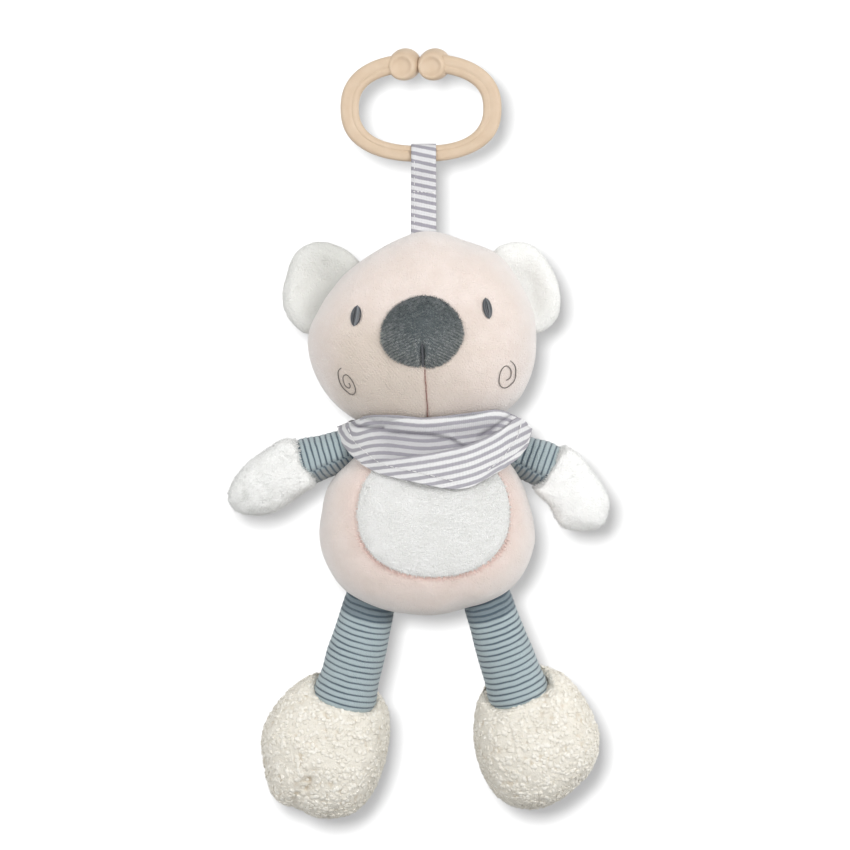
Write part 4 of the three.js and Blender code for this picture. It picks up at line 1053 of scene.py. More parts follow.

# %% [markdown]
# ## The ears
# Each ear is a round of white plush, sewn in at the side of the head, stuffed thinly and hollowed at the
# front. The left ear carries painted shade: its skin and its pile are painted duller than the right ear's,
# most of all near the head.

# %% Ears
EAR_OUTLINES = {
    "left": [
        (-28.5, -82.6), (-33.1, -78.5), (-38.5, -75.3), (-45.8, -73.5), (-53.1, -75.3), (-58.6, -79.9),
        (-60.8, -84.9), (-62.7, -92.1), (-63.8, -98.5), (-63.1, -104.0), (-60.4, -109.4),
        (-55.8, -114.0), (-51.7, -115.6), (-44.2, -114.5), (-36.3, -107.2), (-29.9, -95.7),
    ],
    "right": [
        (33.3, -78.1), (38.8, -74.4), (45.1, -73.5), (51.5, -75.3), (56.9, -80.8), (60.6, -86.7),
        (63.3, -94.0), (64.2, -101.2), (62.9, -107.6), (59.7, -112.1), (53.3, -115.3), (45.5, -114.5),
        (37.7, -107.2), (31.7, -93.4),
    ],
}
EAR_MIDDLES = {"left": (-46.5, -95.0), "right": (48.2, -95.0)}
SWEPT_BACK = 0.18
EAR_DEEP = 5.5
EAR_HAIRS = 6000
EAR_SEAMS = {"left": (-45.39, -94.87), "right": (46.79, -94.87)}


def fuzz(name, points, faces, count, length, finish, body, seed, thick, tones):
    """Short pile over a skin: fibres that lie down at random, most of them nearly flat."""
    roots, out = scatter(points, faces, count, seed)
    lean = direction(0.3 * out + 0.6 * tousle(roots, seed + 1))
    lean += np.maximum(0, 0.15 - np.einsum("ij,ij->i", lean, out))[:, None] * out
    made, shape, tone = fibres(roots - 0.2 * out, lean, length, thick, 0.5, seed + 2)
    tone = tones[0] + (tones[1] - tones[0]) * tone
    return settle(piece(name, made, shape, finish, tone=tone), body)


for side, outline in EAR_OUTLINES.items():
    form = Form(outline, EAR_MIDDLES[side], 1.5, EAR_DEEP, EAR_DEEP, 2.5)
    unit, faces = ball(64)
    points = form.cover(unit)
    share = form.share(points[:, 0], points[:, 2])
    hollow = 1 - ease(share, 0.15, 0.86)
    points[:, 1] += hollow * np.where(unit[:, 1] < 0, 5.8, 2.4)
    points[:, 1] += SWEPT_BACK * (np.abs(points[:, 0]) - abs(EAR_SEAMS[side][0]))
    uneven = 0.35 * noise(points, 9.0, 41) + 0.2 * noise(points, 3.0, 42)
    points = push(points, faces, uneven)
    # painted shade: the left ear is painted duller than the right, most of all near the head
    lies = 0.75 + 0.5 * ease(points[:, 0], -60, -42) if side == "left" else np.full(len(points), 0.25)
    ear = piece(side + "_ear_skin", points, faces, ear_plush, comb=lies)
    # painted shade: the left ear's pile takes darker tones
    tones = (0.0, 0.4) if side == "left" else (0.45, 0.9)
    fluff = fuzz(side + "_ear_pile", points, faces, EAR_HAIRS, 0.9, ear_pile, None, 43, 0.1, tones)
    for soft in (ear, fluff):
        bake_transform(soft)
    settle(ear, None, [side + "_ear"])
print("ears ready")

# %% [markdown]
# ## The body and the tummy patch
# The body is the same velour. A round of white plush is sewn on the tummy, and its stitches pucker the
# velour around it. The musical movement sits inside, packed in stuffing.

# %% Torso
TORSO_OUTLINE = [
    (2.8, -156.4), (-15.2, -160.1), (-27.1, -168.8), (-33.5, -175.3), (-41.4, -184.2), (-45.5, -198.7),
    (-46.4, -207.0), (-44.2, -219.4), (-36.6, -231.8), (-23.5, -240.1), (-6.9, -244.2), (7.5, -245.0),
    (20.0, -242.1), (37.9, -235.9), (46.8, -227.0), (51.7, -213.9), (51.0, -198.7), (46.1, -182.8),
    (41.3, -174.9), (32.7, -167.0), (20.2, -160.1),
]


def torso_fullness(angle):
    """Rounder at the neck, flatter towards the sides, and fullest where the stuffing settles."""
    return 2.1 + 0.3 * np.cos(angle) ** 2 + 0.9 * np.clip(-np.sin(angle), 0, 1) ** 2


TORSO_DEEP = 37.0
torso_form = Form(TORSO_OUTLINE, (2.8, -207.0), 0.0, TORSO_DEEP, TORSO_DEEP, torso_fullness)
PATCH_MIDDLE = np.array([5.8, -198.4])
PATCH_HALF = (34.6, 30.4, 28.4)  # to the sides, up and down
PATCH_REACH = 32
PATCH_HAIRS = 20000
turn = full_turn(60)
wide, tall = PATCH_HALF[0], np.where(turn < math.pi, *PATCH_HALF[1:])
patch_rim = PATCH_MIDDLE + np.stack([wide * power(np.cos(turn), 0.9), tall * power(np.sin(turn), 0.9)], 1)
patch_form = Form(patch_rim, PATCH_MIDDLE, 0.0, 1.0, 1.0, 2.2)


def torso_skin():
    """The stuffed body, drawn in and rippled round the patch, and how far each point is pink."""
    unit, faces = ball(96)
    points = torso_form.cover(unit)
    x, y, z = points.T
    share = patch_form.share(x, z)
    angle = np.arctan2(z - PATCH_MIDDLE[1], x - PATCH_MIDDLE[0])
    beyond = (share - 1) * PATCH_REACH
    front = ease(-y, 2, 8)
    bottom = ease(-np.sin(angle), 0.1, 0.6)
    waves = noise(np.stack([26 * angle, beyond * 0.4, 0 * x], 1), 1.0, 53)
    ripple = (0.12 + 0.36 * bottom) * waves * hump(beyond - 1.6, 1.7)
    move = 0.5 * noise(points, 19.0, 51) + 0.25 * noise(points, 7.0, 52)
    move = move + front * (drawn_in(beyond - 0.5, 1.5, 0.6) + ripple) + drawn_in(y - 1.5, 1.8, 0.6)
    flush = (0.2 + 0.5 * bottom) * hump(beyond - 0.8, 1.1) + 0.22 * hump(beyond - 3, 4)
    return push(points, faces, move), faces, front * flush


points, faces, seam = torso_skin()
torso = piece("torso_skin", points, faces, velour, seam=seam, bloom=bloom(points, faces))
settle(torso, "torso", ["torso_front", "torso_back", "torso_stuffing"])
print("torso", len(points), "points")


# %% Patch
def patch_skin():
    """A thin cushion on the torso: the ball's front stands off the velour and its back sinks under it."""
    unit, faces = ball(64)
    points = patch_form.cover(unit)
    x, y, z = points.T
    points[:, 1] = torso_form.face(x, z) + np.where(y < 0, 0.9, 2.0) * y
    return points, faces


points, faces = patch_skin()
settle(piece("patch_skin", points, faces, patch_plush), "torso", ["tummy_patch"])


def patch_pile(points, faces):
    """Pile combed in slow swirls: the lean follows a noise field over the patch."""
    roots, out = scatter(points, faces, PATCH_HAIRS, 55)
    shown = roots[:, 1] < torso_form.face(roots[:, 0], roots[:, 2]) + 0.3
    roots, out = roots[shown], out[shown]
    way = 0.6 + 1.4 * noise(roots * [1, 0.2, 1], 17.0, 56)
    comb = np.stack([np.cos(way), 0 * way, np.sin(way)], 1)
    rim = ease(patch_form.share(roots[:, 0], roots[:, 2]), 0.88, 0.98)[:, None]
    fringe = (roots - [PATCH_MIDDLE[0], 0, PATCH_MIDDLE[1]]) * [1 / PATCH_REACH, 0, 1 / PATCH_REACH]
    wild = 0.25 * tousle(roots, 57)
    lean = direction(0.4 * out + 0.8 * (1 - rim) * comb + 0.8 * rim * fringe + wild)
    return fibres(roots - 0.3 * out, lean, 1.7, 0.13, 0.5, 58)


points, faces, tone = patch_pile(points, faces)
settle(piece("patch_pile", points, faces, patch_tufts, tone=tone), "torso")
print("patch fibres", len(points) // 7)


# %% Patch stitches
def around_patch(path, size, lift):
    """A path round the patch, a little larger than its rim, on the velour."""
    return torso_form.on(patch_form.centre + size * (path - patch_form.centre), lift)


fine_rim = curve(patch_rim, 300, True)
rim_path = around_patch(np.concatenate([fine_rim, fine_rim[:1]]), 1.015, -0.45)
rim_path[:, [0, 2]] += 0.5 * np.stack([noise(rim_path, 1.6, 59), noise(rim_path, 1.6, 60)], 1)
rim_turn = np.degrees(np.arctan2(rim_path[:, 2] - PATCH_MIDDLE[1], rim_path[:, 0] - PATCH_MIDDLE[0]))
rim_path = np.roll(rim_path[:-1], 60, 0)[np.roll((rim_turn[:-1] > -165) & (rim_turn[:-1] < 50), 60)]
sewn = stitches(rim_path, towards_viewer, 1.5, 0.7, 0.72)
gathers = around_patch(resample(fine_rim[166:284], 54), 1.05, -0.1)
radial = (gathers - [PATCH_MIDDLE[0], 0, PATCH_MIDDLE[1]]) * [1 / PATCH_REACH, 0, 1 / PATCH_REACH]
radial = radial * np.random.default_rng(50).uniform(0.6, 1.3, (len(gathers), 1))
sideways = np.stack([-0.22 * radial[:, 2], 0 * radial[:, 0], 0.22 * radial[:, 0]], 1)
proud = np.tile([0, -0.3, 0], (len(radial), 1))
gathers = strew(*ball(2), gathers, np.stack([1.1 * radial, sideways, proud], 1))
settle(piece("patch_stitches", *merge([sewn, gathers]), pink_thread), "torso")
print("patch sewn on")

# %% [markdown]
# ## Arms and legs
# The limbs are tubes of ribbed velour. Rib and dip follow from how far along the tube a point lies, so the
# ribs are modelled and the dips are tinted. The sleeve has a seam on its lower side, where the ribs meet at
# an angle.


# %% Limb tubes
def down_limb(below, side):
    """The direction of a limb that points so many degrees below the level, to one side."""
    tilt = math.radians(below)
    return np.array([side * math.cos(tilt), 0, -math.sin(tilt)])


def limb(root, below, side, stops, pitch, sag, seam=None, rows=230, columns=104):
    """A tube along its axis. Stops give along, half width and half depth. Angle 0 faces the viewer and a
    quarter turn is the upper edge. The ribs sag on the front, as a tilted ring does."""
    stops = np.array(stops)
    s = np.linspace(stops[0, 0], stops[-1, 0], rows)[:, None]
    shape = curve(stops, 200)
    wide, deep = np.interp(s, shape[:, 0], shape[:, 1]), np.interp(s, shape[:, 0], shape[:, 2])
    a = full_turn(columns)[None]
    along = down_limb(below, side)
    up = np.array([-along[2] * side, 0, along[0] * side])
    spread = np.stack(np.broadcast_arrays(3 * np.cos(a), 3 * np.sin(a), s / 3), -1)
    phase = s / pitch + 0.07 * noise(spread.reshape(-1, 3), 1.0, 63).reshape(rows, columns)
    dark = np.zeros_like(phase)
    crease = np.zeros_like(phase)
    # painted shade: the top of a leg is painted darker where the torso shades it
    top = 0.6 * (1 - ease(s, 4.6, 7.0)) if seam is None else 0  # a leg is in shade under the torso
    if seam is not None:
        line_angle = seam[0] + (seam[1] - seam[0]) * (s - stops[0, 0]) / (stops[-1, 0] - stops[0, 0])
        off = np.angle(np.exp(1j * (a - line_angle)))
        below_seam = ease(-off, -0.02, 0.06) * (off > -1.9)
        phase = phase + below_seam * (0.45 - 1.0 * off)
        crease = hump(off, 0.1)
        # painted shade: below its seam the sleeve is painted grey
        dark = 0.8 * below_seam * ease(-off, 0, 0.14)
    round_rib = np.abs(np.sin(math.pi * phase))
    groove = 1 - ease(round_rib, 0.12, 0.78)
    swell = 0.42 * (np.sqrt(round_rib) - 0.7) - 0.7 * crease
    place = (np.asarray(root)[None, None] + (s + sag * np.cos(a))[..., None] * along
             + ((wide + swell) * np.sin(a))[..., None] * up
             + ((deep + swell) * -np.cos(a))[..., None] * np.array([0.0, 1.0, 0.0]))
    ends = place[[0, -1]]
    place[[0, -1]] = ends.mean(1, keepdims=True) + 0.02 * (ends - ends.mean(1, keepdims=True))
    points, faces = closed(place.reshape(-1, 3), grid_faces(rows, columns, True))
    return points, faces, np.clip(groove + 0.35 * crease + top, 0, 1).ravel(), dark.ravel()


print("a limb starts at its root, and points", down_limb(90, 1).round(2), "when it hangs")


# %% Sleeves and legs
def sew_limb(name, shape, uneven, node):
    """Stuffs a limb unevenly, and hides the CAD node that it stands for."""
    points, faces, groove, under = shape
    size, cell, seed = uneven
    points = push(points, faces, size * noise(points, cell, seed))
    made = piece(name, points, faces, rib_velour, groove=groove, under=under)
    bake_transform(made)
    settle(made, None, [node])


ARMS = {"left": ((-26.54, 0.0, -167.15), 16.0, -1), "right": ((32.14, 0.0, -167.15), 20.0, 1)}
SLEEVE_SEAM = (-0.2, -0.58)  # its angle at the shoulder and at the cuff
SLEEVE_RIB = 2.6
SLEEVE_STOPS = [
    (-5, 7.2, 4.5), (0, 8.4, 5.6), (8, 9.4, 7.4), (20, 10.2, 8.6), (29, 10.5, 8.8), (33, 9.0, 7.2),
]
for side, (root, below, way) in ARMS.items():
    shape = limb(root, below, way, SLEEVE_STOPS, SLEEVE_RIB, 0.0, SLEEVE_SEAM)
    sew_limb(side + "_sleeve_tube", shape, (0.35, 8.0, 61), side + "_sleeve")

LEGS = {
    "left": ((-23.4, 0.0, -239.0), 75.0, -1, 1.0, 0.0),
    "right": ((30.6, 0.0, -238.8), 71.2, 1, 0.95, -1.0),
}
LEG_RIB = 2.67
LEG_SAG = 3.2
LEG_STOPS = [
    (-6, 11.2, 6.0), (0, 11.9, 8.0), (10, 12.4, 10.8), (24, 13.2, 12.8), (40, 14.2, 14.0),
    (46.5, 14.3, 14.4), (47.6, 13.6, 13.7), (48, 11.5, 11.5),
]
for side, (root, below, way, size, longer) in LEGS.items():
    stops = [(s + longer * ease(s, 0, 40), wide * size, deep * size) for s, wide, deep in LEG_STOPS]
    shape = limb(root, below, way, stops, LEG_RIB, LEG_SAG, rows=300)
    sew_limb(side + "_leg_tube", shape, (0.3, 9.0, 62), side + "_leg")
print("limbs ready")

# %% [markdown]
# ## Mittens and feet
# The mittens are white plush, and their pile falls over the end of the sleeve. The feet are teddy fleece:
# soft tufts with a few darker pits between. Two sizes of noise push the skin in and out, and small flat curls
# with a few hairs between them lie on it. The left foot is drawn in at one place by a stitch.

# %% Mittens
# each mitten: its outline, its middle, the angle of its cuff, and a spot of painted shade as x, z and width
MITTENS = {
    "left": ([
        (-58.0, -165.4), (-60.6, -164.2), (-68.6, -167.2), (-78.9, -174.6), (-86.7, -184.0),
        (-88.5, -191.0), (-84.2, -197.6), (-76.0, -199.3), (-64.1, -196.0), (-57.5, -191.0),
        (-51.4, -186.7), (-49.5, -184.5), (-51.0, -180.4), (-53.9, -176.7), (-55.9, -170.9),
    ], (-69.0, -182.0), 22.0, (-76.5, -190.5, 8.0)),
    "right": ([
        (64.7, -169.3), (67.0, -168.4), (69.4, -169.3), (79.3, -179.6), (85.8, -191.4), (85.6, -199.8),
        (81.6, -205.0), (72.2, -206.1), (64.2, -204.0), (61.0, -198.4), (57.2, -192.3), (52.7, -186.7),
        (54.8, -185.2), (59.5, -178.7), (62.3, -173.5),
    ], (70.5, -189.5), 136.0, (68.0, -200.5, 5.0)),
}
MITTEN_DEEP = 10.4
MITTEN_HAIRS = 8000
CUFF_HAIRS = 9000
for side, (outline, middle, cuff, worn) in MITTENS.items():
    def fuller(angle, cuff=math.radians(cuff)):
        """Rounder at the tip, and blunt at the cuff."""
        off = np.angle(np.exp(1j * (angle - cuff)))
        return 2.3 + 4.5 * hump(off, 0.85)

    form = Form(outline, middle, 0.0, MITTEN_DEEP, MITTEN_DEEP, fuller)
    unit, faces = ball(60)
    points = form.cover(unit)
    uneven = 0.4 * noise(points, 8.0, 71) + 0.2 * noise(points, 2.5, 72)
    points = push(points, faces, uneven)
    # painted shade: a blotch low on each mitten is painted duller, and the whole left mitten a little duller
    # too
    dent = hump(np.hypot(points[:, 0] - worn[0], points[:, 2] - worn[1]), worn[2])
    dent *= ease(noise(points, 3.0, 74), -0.3, 0.6)
    comb = 0.9 * dent + 0.3 * (side == "left")
    # painted shade: the left mitten's pile takes darker tones
    tones = (0.1, 0.5) if side == "left" else (0.5, 0.95)
    mitten = piece(side + "_mitten_skin", points, faces, white_plush, comb=comb)
    settle(mitten, side + "_arm", [side + "_mitten"])
    fuzz(side + "_mitten_pile", points, faces, MITTEN_HAIRS, 1.4, white_pile, side + "_arm", 73, 0.11, tones)
    roots, out = scatter(points, faces, CUFF_HAIRS, 75)
    way = np.array([math.cos(math.radians(cuff)), 0, math.sin(math.radians(cuff))])
    turned = np.arctan2(roots[:, 2] - middle[1], roots[:, 0] - middle[0]) - math.radians(cuff)
    edge = (np.cos(turned) > 0.78) & (form.share(roots[:, 0], roots[:, 2]) > 0.86)
    roots, out = roots[edge], out[edge]
    lean = way + 0.35 * out + 0.3 * tousle(roots, 76)
    made, shape, tone = fibres(roots - 0.2 * out, direction(lean), 2.2, 0.12, 0.6, 77)
    settle(piece(side + "_cuff_fringe", made, shape, white_pile, tone=tone), side + "_arm")
print("mittens ready")

# %% Shape of the feet
FEET = {
    "left": ([
        (-44.2, -271.9), (-53.7, -274.9), (-66.2, -287.0), (-73.5, -301.7), (-71.7, -317.1),
        (-64.7, -331.8), (-57.4, -334.0), (-50.8, -337.6), (-39.1, -338.4), (-27.3, -333.2),
        (-20.0, -322.2), (-15.6, -303.9), (-14.9, -296.6), (-18.5, -283.4), (-29.0, -274.2),
    ], (-44.2, -305.5)),
    "right": ([
        (45.5, -269.1), (56.8, -269.8), (66.3, -273.8), (76.6, -287.0), (81.6, -301.7), (79.5, -314.1),
        (69.3, -326.6), (54.6, -333.8), (42.9, -333.2), (31.9, -324.4), (25.6, -308.3), (24.9, -291.4),
        (28.6, -280.4), (36.3, -271.9),
    ], (52.8, -301.5)),
}
FOOT_DEEP = 26.0
FOOT_MIDDLE = 9.0
FOOT_CURLS = 2900
FOOT_HAIRS = 6000
SEAT_DEPTH = 13
PUCKER = (-52.4, -323.5)


def fleece_relief(points):
    """Soft tufts in two sizes of noise, and painted shade in sparse pits where both are low."""
    warp = 0.8 * np.stack([noise(points, 3.0, s) for s in (81, 82, 83)], 1)
    tuft = noise((points + warp) * [1, 1, 0.75], 2.3, 84)
    curl = noise(points + 0.4 * warp, 1.15, 85)
    return 0.26 * tuft + 0.16 * curl, 0.8 * ease(-(tuft + 0.6 * curl), 0.3, 1.1)


def seat_for_leg(points, root, below, way):
    """The leg's end is sewn on the front of the foot, and presses the fleece back where it sits."""
    tilt = math.radians(below)
    x, z = points[:, 0] - root[0], points[:, 2] - root[2]
    along = x * way * math.cos(tilt) - z * math.sin(tilt)
    across = x * math.sin(tilt) + z * way * math.cos(tilt)
    pressed = (1 - ease(np.abs(across), 11, 18)) * (1 - ease(along, 44, 52)) * ease(9 - points[:, 1], 0, 8)
    points[:, 1] += SEAT_DEPTH * pressed
    return points


def pucker(points):
    """The drawn-in place on the left foot: how far it is pulled in, and its ragged deep spots."""
    x, z = points[:, 0] - PUCKER[0], points[:, 2] - PUCKER[1]
    pulled = np.exp(-(((0.6 * x + 0.8 * z) / 7) ** 2) - ((0.6 * z - 0.8 * x) / 2.8) ** 2) * (points[:, 1] < 9)
    return pulled, pulled * ease(noise(points, 1.9, 89), -0.3, 0.5)


print("feet", list(FEET))


# %% Curls, and both feet
def curls(points, faces, count, seed):
    """Fleece curls: small flattened balls that lie every way over a skin, and short hairs between them."""
    rng = np.random.default_rng(seed)
    roots, out = scatter(points, faces, count, seed + 1)
    roots, out = (a[pucker(roots)[1] < 0.4] for a in (roots, out))
    up = direction(out + 0.2 * rng.normal(size=out.shape))
    first = direction(np.cross(up, rng.normal(size=up.shape)))
    size = rng.uniform(0.65, 1.15, len(roots))[:, None]
    axes = np.stack([1.35 * size * first, 0.95 * size * np.cross(up, first), 0.42 * size * up], 1)
    unit, quads = ball(2)
    threes = np.concatenate([quads[:, :3], quads[:, [0, 2, 3]]])
    lumps = strew(unit, threes, roots + 0.05 * out, axes)
    tone = 0.5 + 0.3 * noise(roots, 4.5, seed + 2) + 0.4 * rng.uniform(-1, 1, len(roots))
    roots, out = scatter(points, faces, FOOT_HAIRS, seed + 3)
    lean = direction(out + 0.7 * rng.normal(size=out.shape))
    hairs, shape, shades = fibres(roots + 0.2 * out, lean, 0.9, 0.13, 0.5, seed + 4)
    return *merge([lumps, (hairs, shape)]), np.concatenate([np.repeat(tone, len(unit)), shades])


for side, (outline, middle) in FEET.items():
    form = Form(outline, middle, FOOT_MIDDLE, FOOT_DEEP, FOOT_DEEP, 2.45)
    unit, faces = ball(64)
    points = seat_for_leg(form.cover(unit), *LEGS[side][:3])
    lift, pit = fleece_relief(points)
    move = lift + 0.6 * noise(points, 12.0, 86) + 0.35 * noise(points, 5.0, 88)
    if side == "left":
        pulled, ragged = pucker(points)
        # painted shade: the drawn-in spots of the left foot are painted as pits too
        move, pit = move - 1.2 * pulled - 1.4 * ragged, np.clip(pit + 1.4 * ragged, 0, 1.5)
    points = push(points, faces, move)
    foot = piece(side + "_foot_skin", points, faces, cream_fleece, pit=pit)
    settle(foot, side + "_leg", [side + "_foot"])
    made, shape, tone = curls(points, faces, FOOT_CURLS, 87)
    settle(piece(side + "_foot_pile", made, shape, fleece_pile, tone=tone), side + "_leg")
print("feet ready")

# %% [markdown]
# ## The scarf
# A kerchief of striped jersey goes round the neck. Its lower layer rings the neck, and its upper edge is
# rolled under. A second layer crosses the front from the right shoulder, with a folded upper edge. Both are
# grids between two measured edges on the drum of the chest. The second coordinate of the cloth carries the
# stripes.

# %% Scarf edges
SCARF_TOP = [
    (-31.3, -156.5), (-24.0, -153.9), (-12.0, -153.6), (1.4, -154.8), (14.0, -153.7), (25.0, -152.2),
    (35.0, -151.2), (42.6, -153.6), (48.3, -158.0),
]
SCARF_HEM = [
    (-38.2, -160.1), (-34.5, -168.6), (-24.0, -177.0), (-6.0, -182.5), (15.2, -185.0), (28.5, -181.5),
    (39.0, -175.5), (46.0, -170.0), (49.0, -163.3),
]
BACK_TOP = [
    (46.5, 4, -156), (40, 17, -155), (24, 25.5, -155), (5, 28.5, -155), (-13, 25, -155),
    (-26, 15, -155.5), (-31.5, 3, -155.8),
]
BACK_HEM = [
    (48.5, 5, -161.5), (42, 19, -165), (25, 27, -168), (5, 28.5, -169.5), (-15, 25.5, -168),
    (-30, 16, -164), (-37.5, 4, -159),
]
PANEL_TOP = [
    (-27.0, -175.4), (-16.0, -173.9), (-6.7, -172.7), (1.5, -171.5), (12.1, -169.5), (23.8, -166.2),
    (31.4, -162.7), (39.7, -157.6), (44.0, -154.8), (48.6, -158.2),
]
PANEL_HEM = [
    (-27.8, -175.4), (-20.2, -179.4), (-6.7, -182.9), (3.9, -185.3), (11.0, -186.6), (17.0, -187.0),
    (22.5, -186.0), (27.5, -183.4), (36.1, -178.4), (44.9, -171.6), (48.2, -166.8), (49.8, -161.4),
]
PANEL_END = ([(46.0, 8.0, -157.4)], [(47.4, 8.0, -162.0)])
CREASE = [(-20, -160.4), (-8, -160.8), (4.5, -161.7), (13.2, -163.3), (19.1, -166.3), (26, -169.5)]
RIGHT_TUCK = [(25, -163.0), (33, -158.5), (37.5, -154.8), (43, -150.5)]
LEFT_PIVOT_X = -27.0
LEFT_TUCK = [(-34, -156.8), (-28.5, -157.6), (-23, -158.3), (-16, -158.2)]
NECK_X = 7.5
NECK_HALF = (44.0, 29.5)  # to the sides and to the front
TWIST_X = 1.2
CLOTH = 0.5
CHIN_MIDDLE, CHIN_ROWS = -155, 22  # the heights where the head meets the scarf, in rows of 1 mm
CELLS, CELL = 120, 3  # directions round the neck, and the degrees of each
TWIST_CELLS = 10
CLEARANCE = 0.7
print("scarf edges", len(SCARF_TOP + BACK_TOP), "and", len(SCARF_HEM + BACK_HEM), "points")


# %% The chest under the scarf
def chest(x, z, off=0.0):
    """The drum that the scarf lies on: an oval round the neck that widens downwards."""
    down = np.clip((-153 - z) / 34, -0.2, 1.2)
    deep = NECK_HALF[1] + 7.0 * down + 1.5 * np.sin(math.pi * np.clip(down, 0, 1)) + off
    return -deep * np.sqrt(np.maximum(0.004, 1 - ((x - NECK_X) / (NECK_HALF[0] + off)) ** 2))


def on_chest(path, off=0.0):
    """A path of x and z laid on the front of the drum."""
    path = np.asarray(path, float)
    return np.stack([path[:, 0], chest(path[:, 0], path[:, 1], off), path[:, 1]], 1)


def off_neck(points):
    """Directions away from the neck's axis, less so to the sides, which keeps the outline seen in front."""
    out = points - [NECK_X, 0, 0]
    out[..., 2] = 0
    out /= np.linalg.norm(out, axis=-1)[..., None] + 1e-9
    out[..., 0] *= 0.35 + 0.65 * ease(points[..., 1], -6, 6)
    return out


def folded(rows, fold, gap):
    """Shares from the folded edge to the hem: first behind the fold, then round it, then down the face."""
    behind = [(fold, -gap), (fold * 0.5, -gap), (0.02, -gap * 0.9), (-0.012, -gap * 0.5), (0.0, -0.05)]
    face = np.stack([np.linspace(0.035, 1, rows), np.zeros(rows)], 1)
    return np.concatenate([behind, face])


print("the chest is", round(-chest(NECK_X, -153.0), 1), "mm deep at the neck")


# %% Room for the head to turn
def spots(made):
    """The points of a piece, in millimetres."""
    flat = np.empty(3 * len(made.data.vertices))
    made.data.vertices.foreach_get("co", flat)
    return flat.reshape(-1, 3) / MM


def room_to_turn(points, out):
    """Pushes the cloth out past the widest that the head comes as it twists, by height and direction."""
    def polar(at):
        x, y = at[:, 0] - TWIST_X, at[:, 1]
        return np.hypot(x, y), np.degrees(np.arctan2(y, x)) % 360

    chin = spots(head)
    chin = chin[np.abs(chin[:, 2] - CHIN_MIDDLE) < CHIN_ROWS / 2]
    low = CHIN_MIDDLE - CHIN_ROWS / 2
    reach, turn = polar(chin)
    widest = np.zeros((CHIN_ROWS, CELLS))
    np.maximum.at(widest, ((chin[:, 2] - low).astype(int), (turn / CELL).astype(int) % CELLS), reach)
    widest = np.max([np.roll(widest, k, 1) for k in range(-TWIST_CELLS, TWIST_CELLS + 1)], 0)
    reach, turn = polar(points)
    row = np.clip(points[:, 2] - (low + 0.5), 0, CHIN_ROWS - 1.01)
    column = (turn / CELL - 0.5) % CELLS
    i, j = row.astype(int), column.astype(int)
    s, t, after = row - i, column - j, (j + 1) % CELLS
    near = (widest[i, j] * (1 - t) + widest[i, after] * t) * (1 - s)
    near = near + (widest[i + 1, j] * (1 - t) + widest[i + 1, after] * t) * s
    away = (points - [TWIST_X, 0, 0])[:, :2] / reach[:, None]
    extra = np.maximum(0, near + CLEARANCE - reach) / np.maximum(0.5, (away * out[:, :2]).sum(1))
    print("the scarf stands out by up to", round(extra.max(), 2), "mm more, so that the head can turn")
    return points + extra[:, None] * out


print("head points", len(spots(head)))


# %% Tucks and loops
def tuck(points, line, lip, drop, width):
    """A fold that hangs over a line of x and z: the cloth stands out above the line and drops in below it."""
    line = np.array(line, float)
    x, y, z = np.moveaxis(points, -1, 0)
    up = z - np.interp(x, line[:, 0], line[:, 1])
    fade = (line[-1, 0] - line[0, 0]) / 4
    there = ease(x, line[0, 0], line[0, 0] + fade)
    there = there * (1 - ease(x, line[-1, 0] - fade / 2, line[-1, 0])) * (y < 0)
    return there * (lip * hump(up - width, width) - drop * hump(up + width, width))


def loop(corners, count):
    """A closed smooth loop, with the same number of steps from each corner to the next (Catmull-Rom)."""
    n = len(corners)
    at = np.linspace(0, n, count, endpoint=False)
    k = np.floor(at).astype(int)
    t = (at - k)[:, None]
    a, b, c, d = corners[k - 1], corners[k], corners[(k + 1) % n], corners[(k + 2) % n]
    return 0.5 * (2 * b + (c - a) * t + (2 * a - 5 * b + 4 * c - d) * t**2 + (3 * b - a - 3 * c + d) * t**3)


print("tucks ready")


# %% Scarf layers
def between(upper, lower, fold, gap):
    """Cloth from a folded upper edge to a hem: the rows' shares, how far each row lies behind the face, the
    points and the directions off the neck."""
    run = folded(44, fold, gap)
    share, behind = run[:, :1], run[:, 1:]
    points = upper[None] * (1 - share[..., None]) + lower[None] * share[..., None]
    return share, behind, points, off_neck(points)


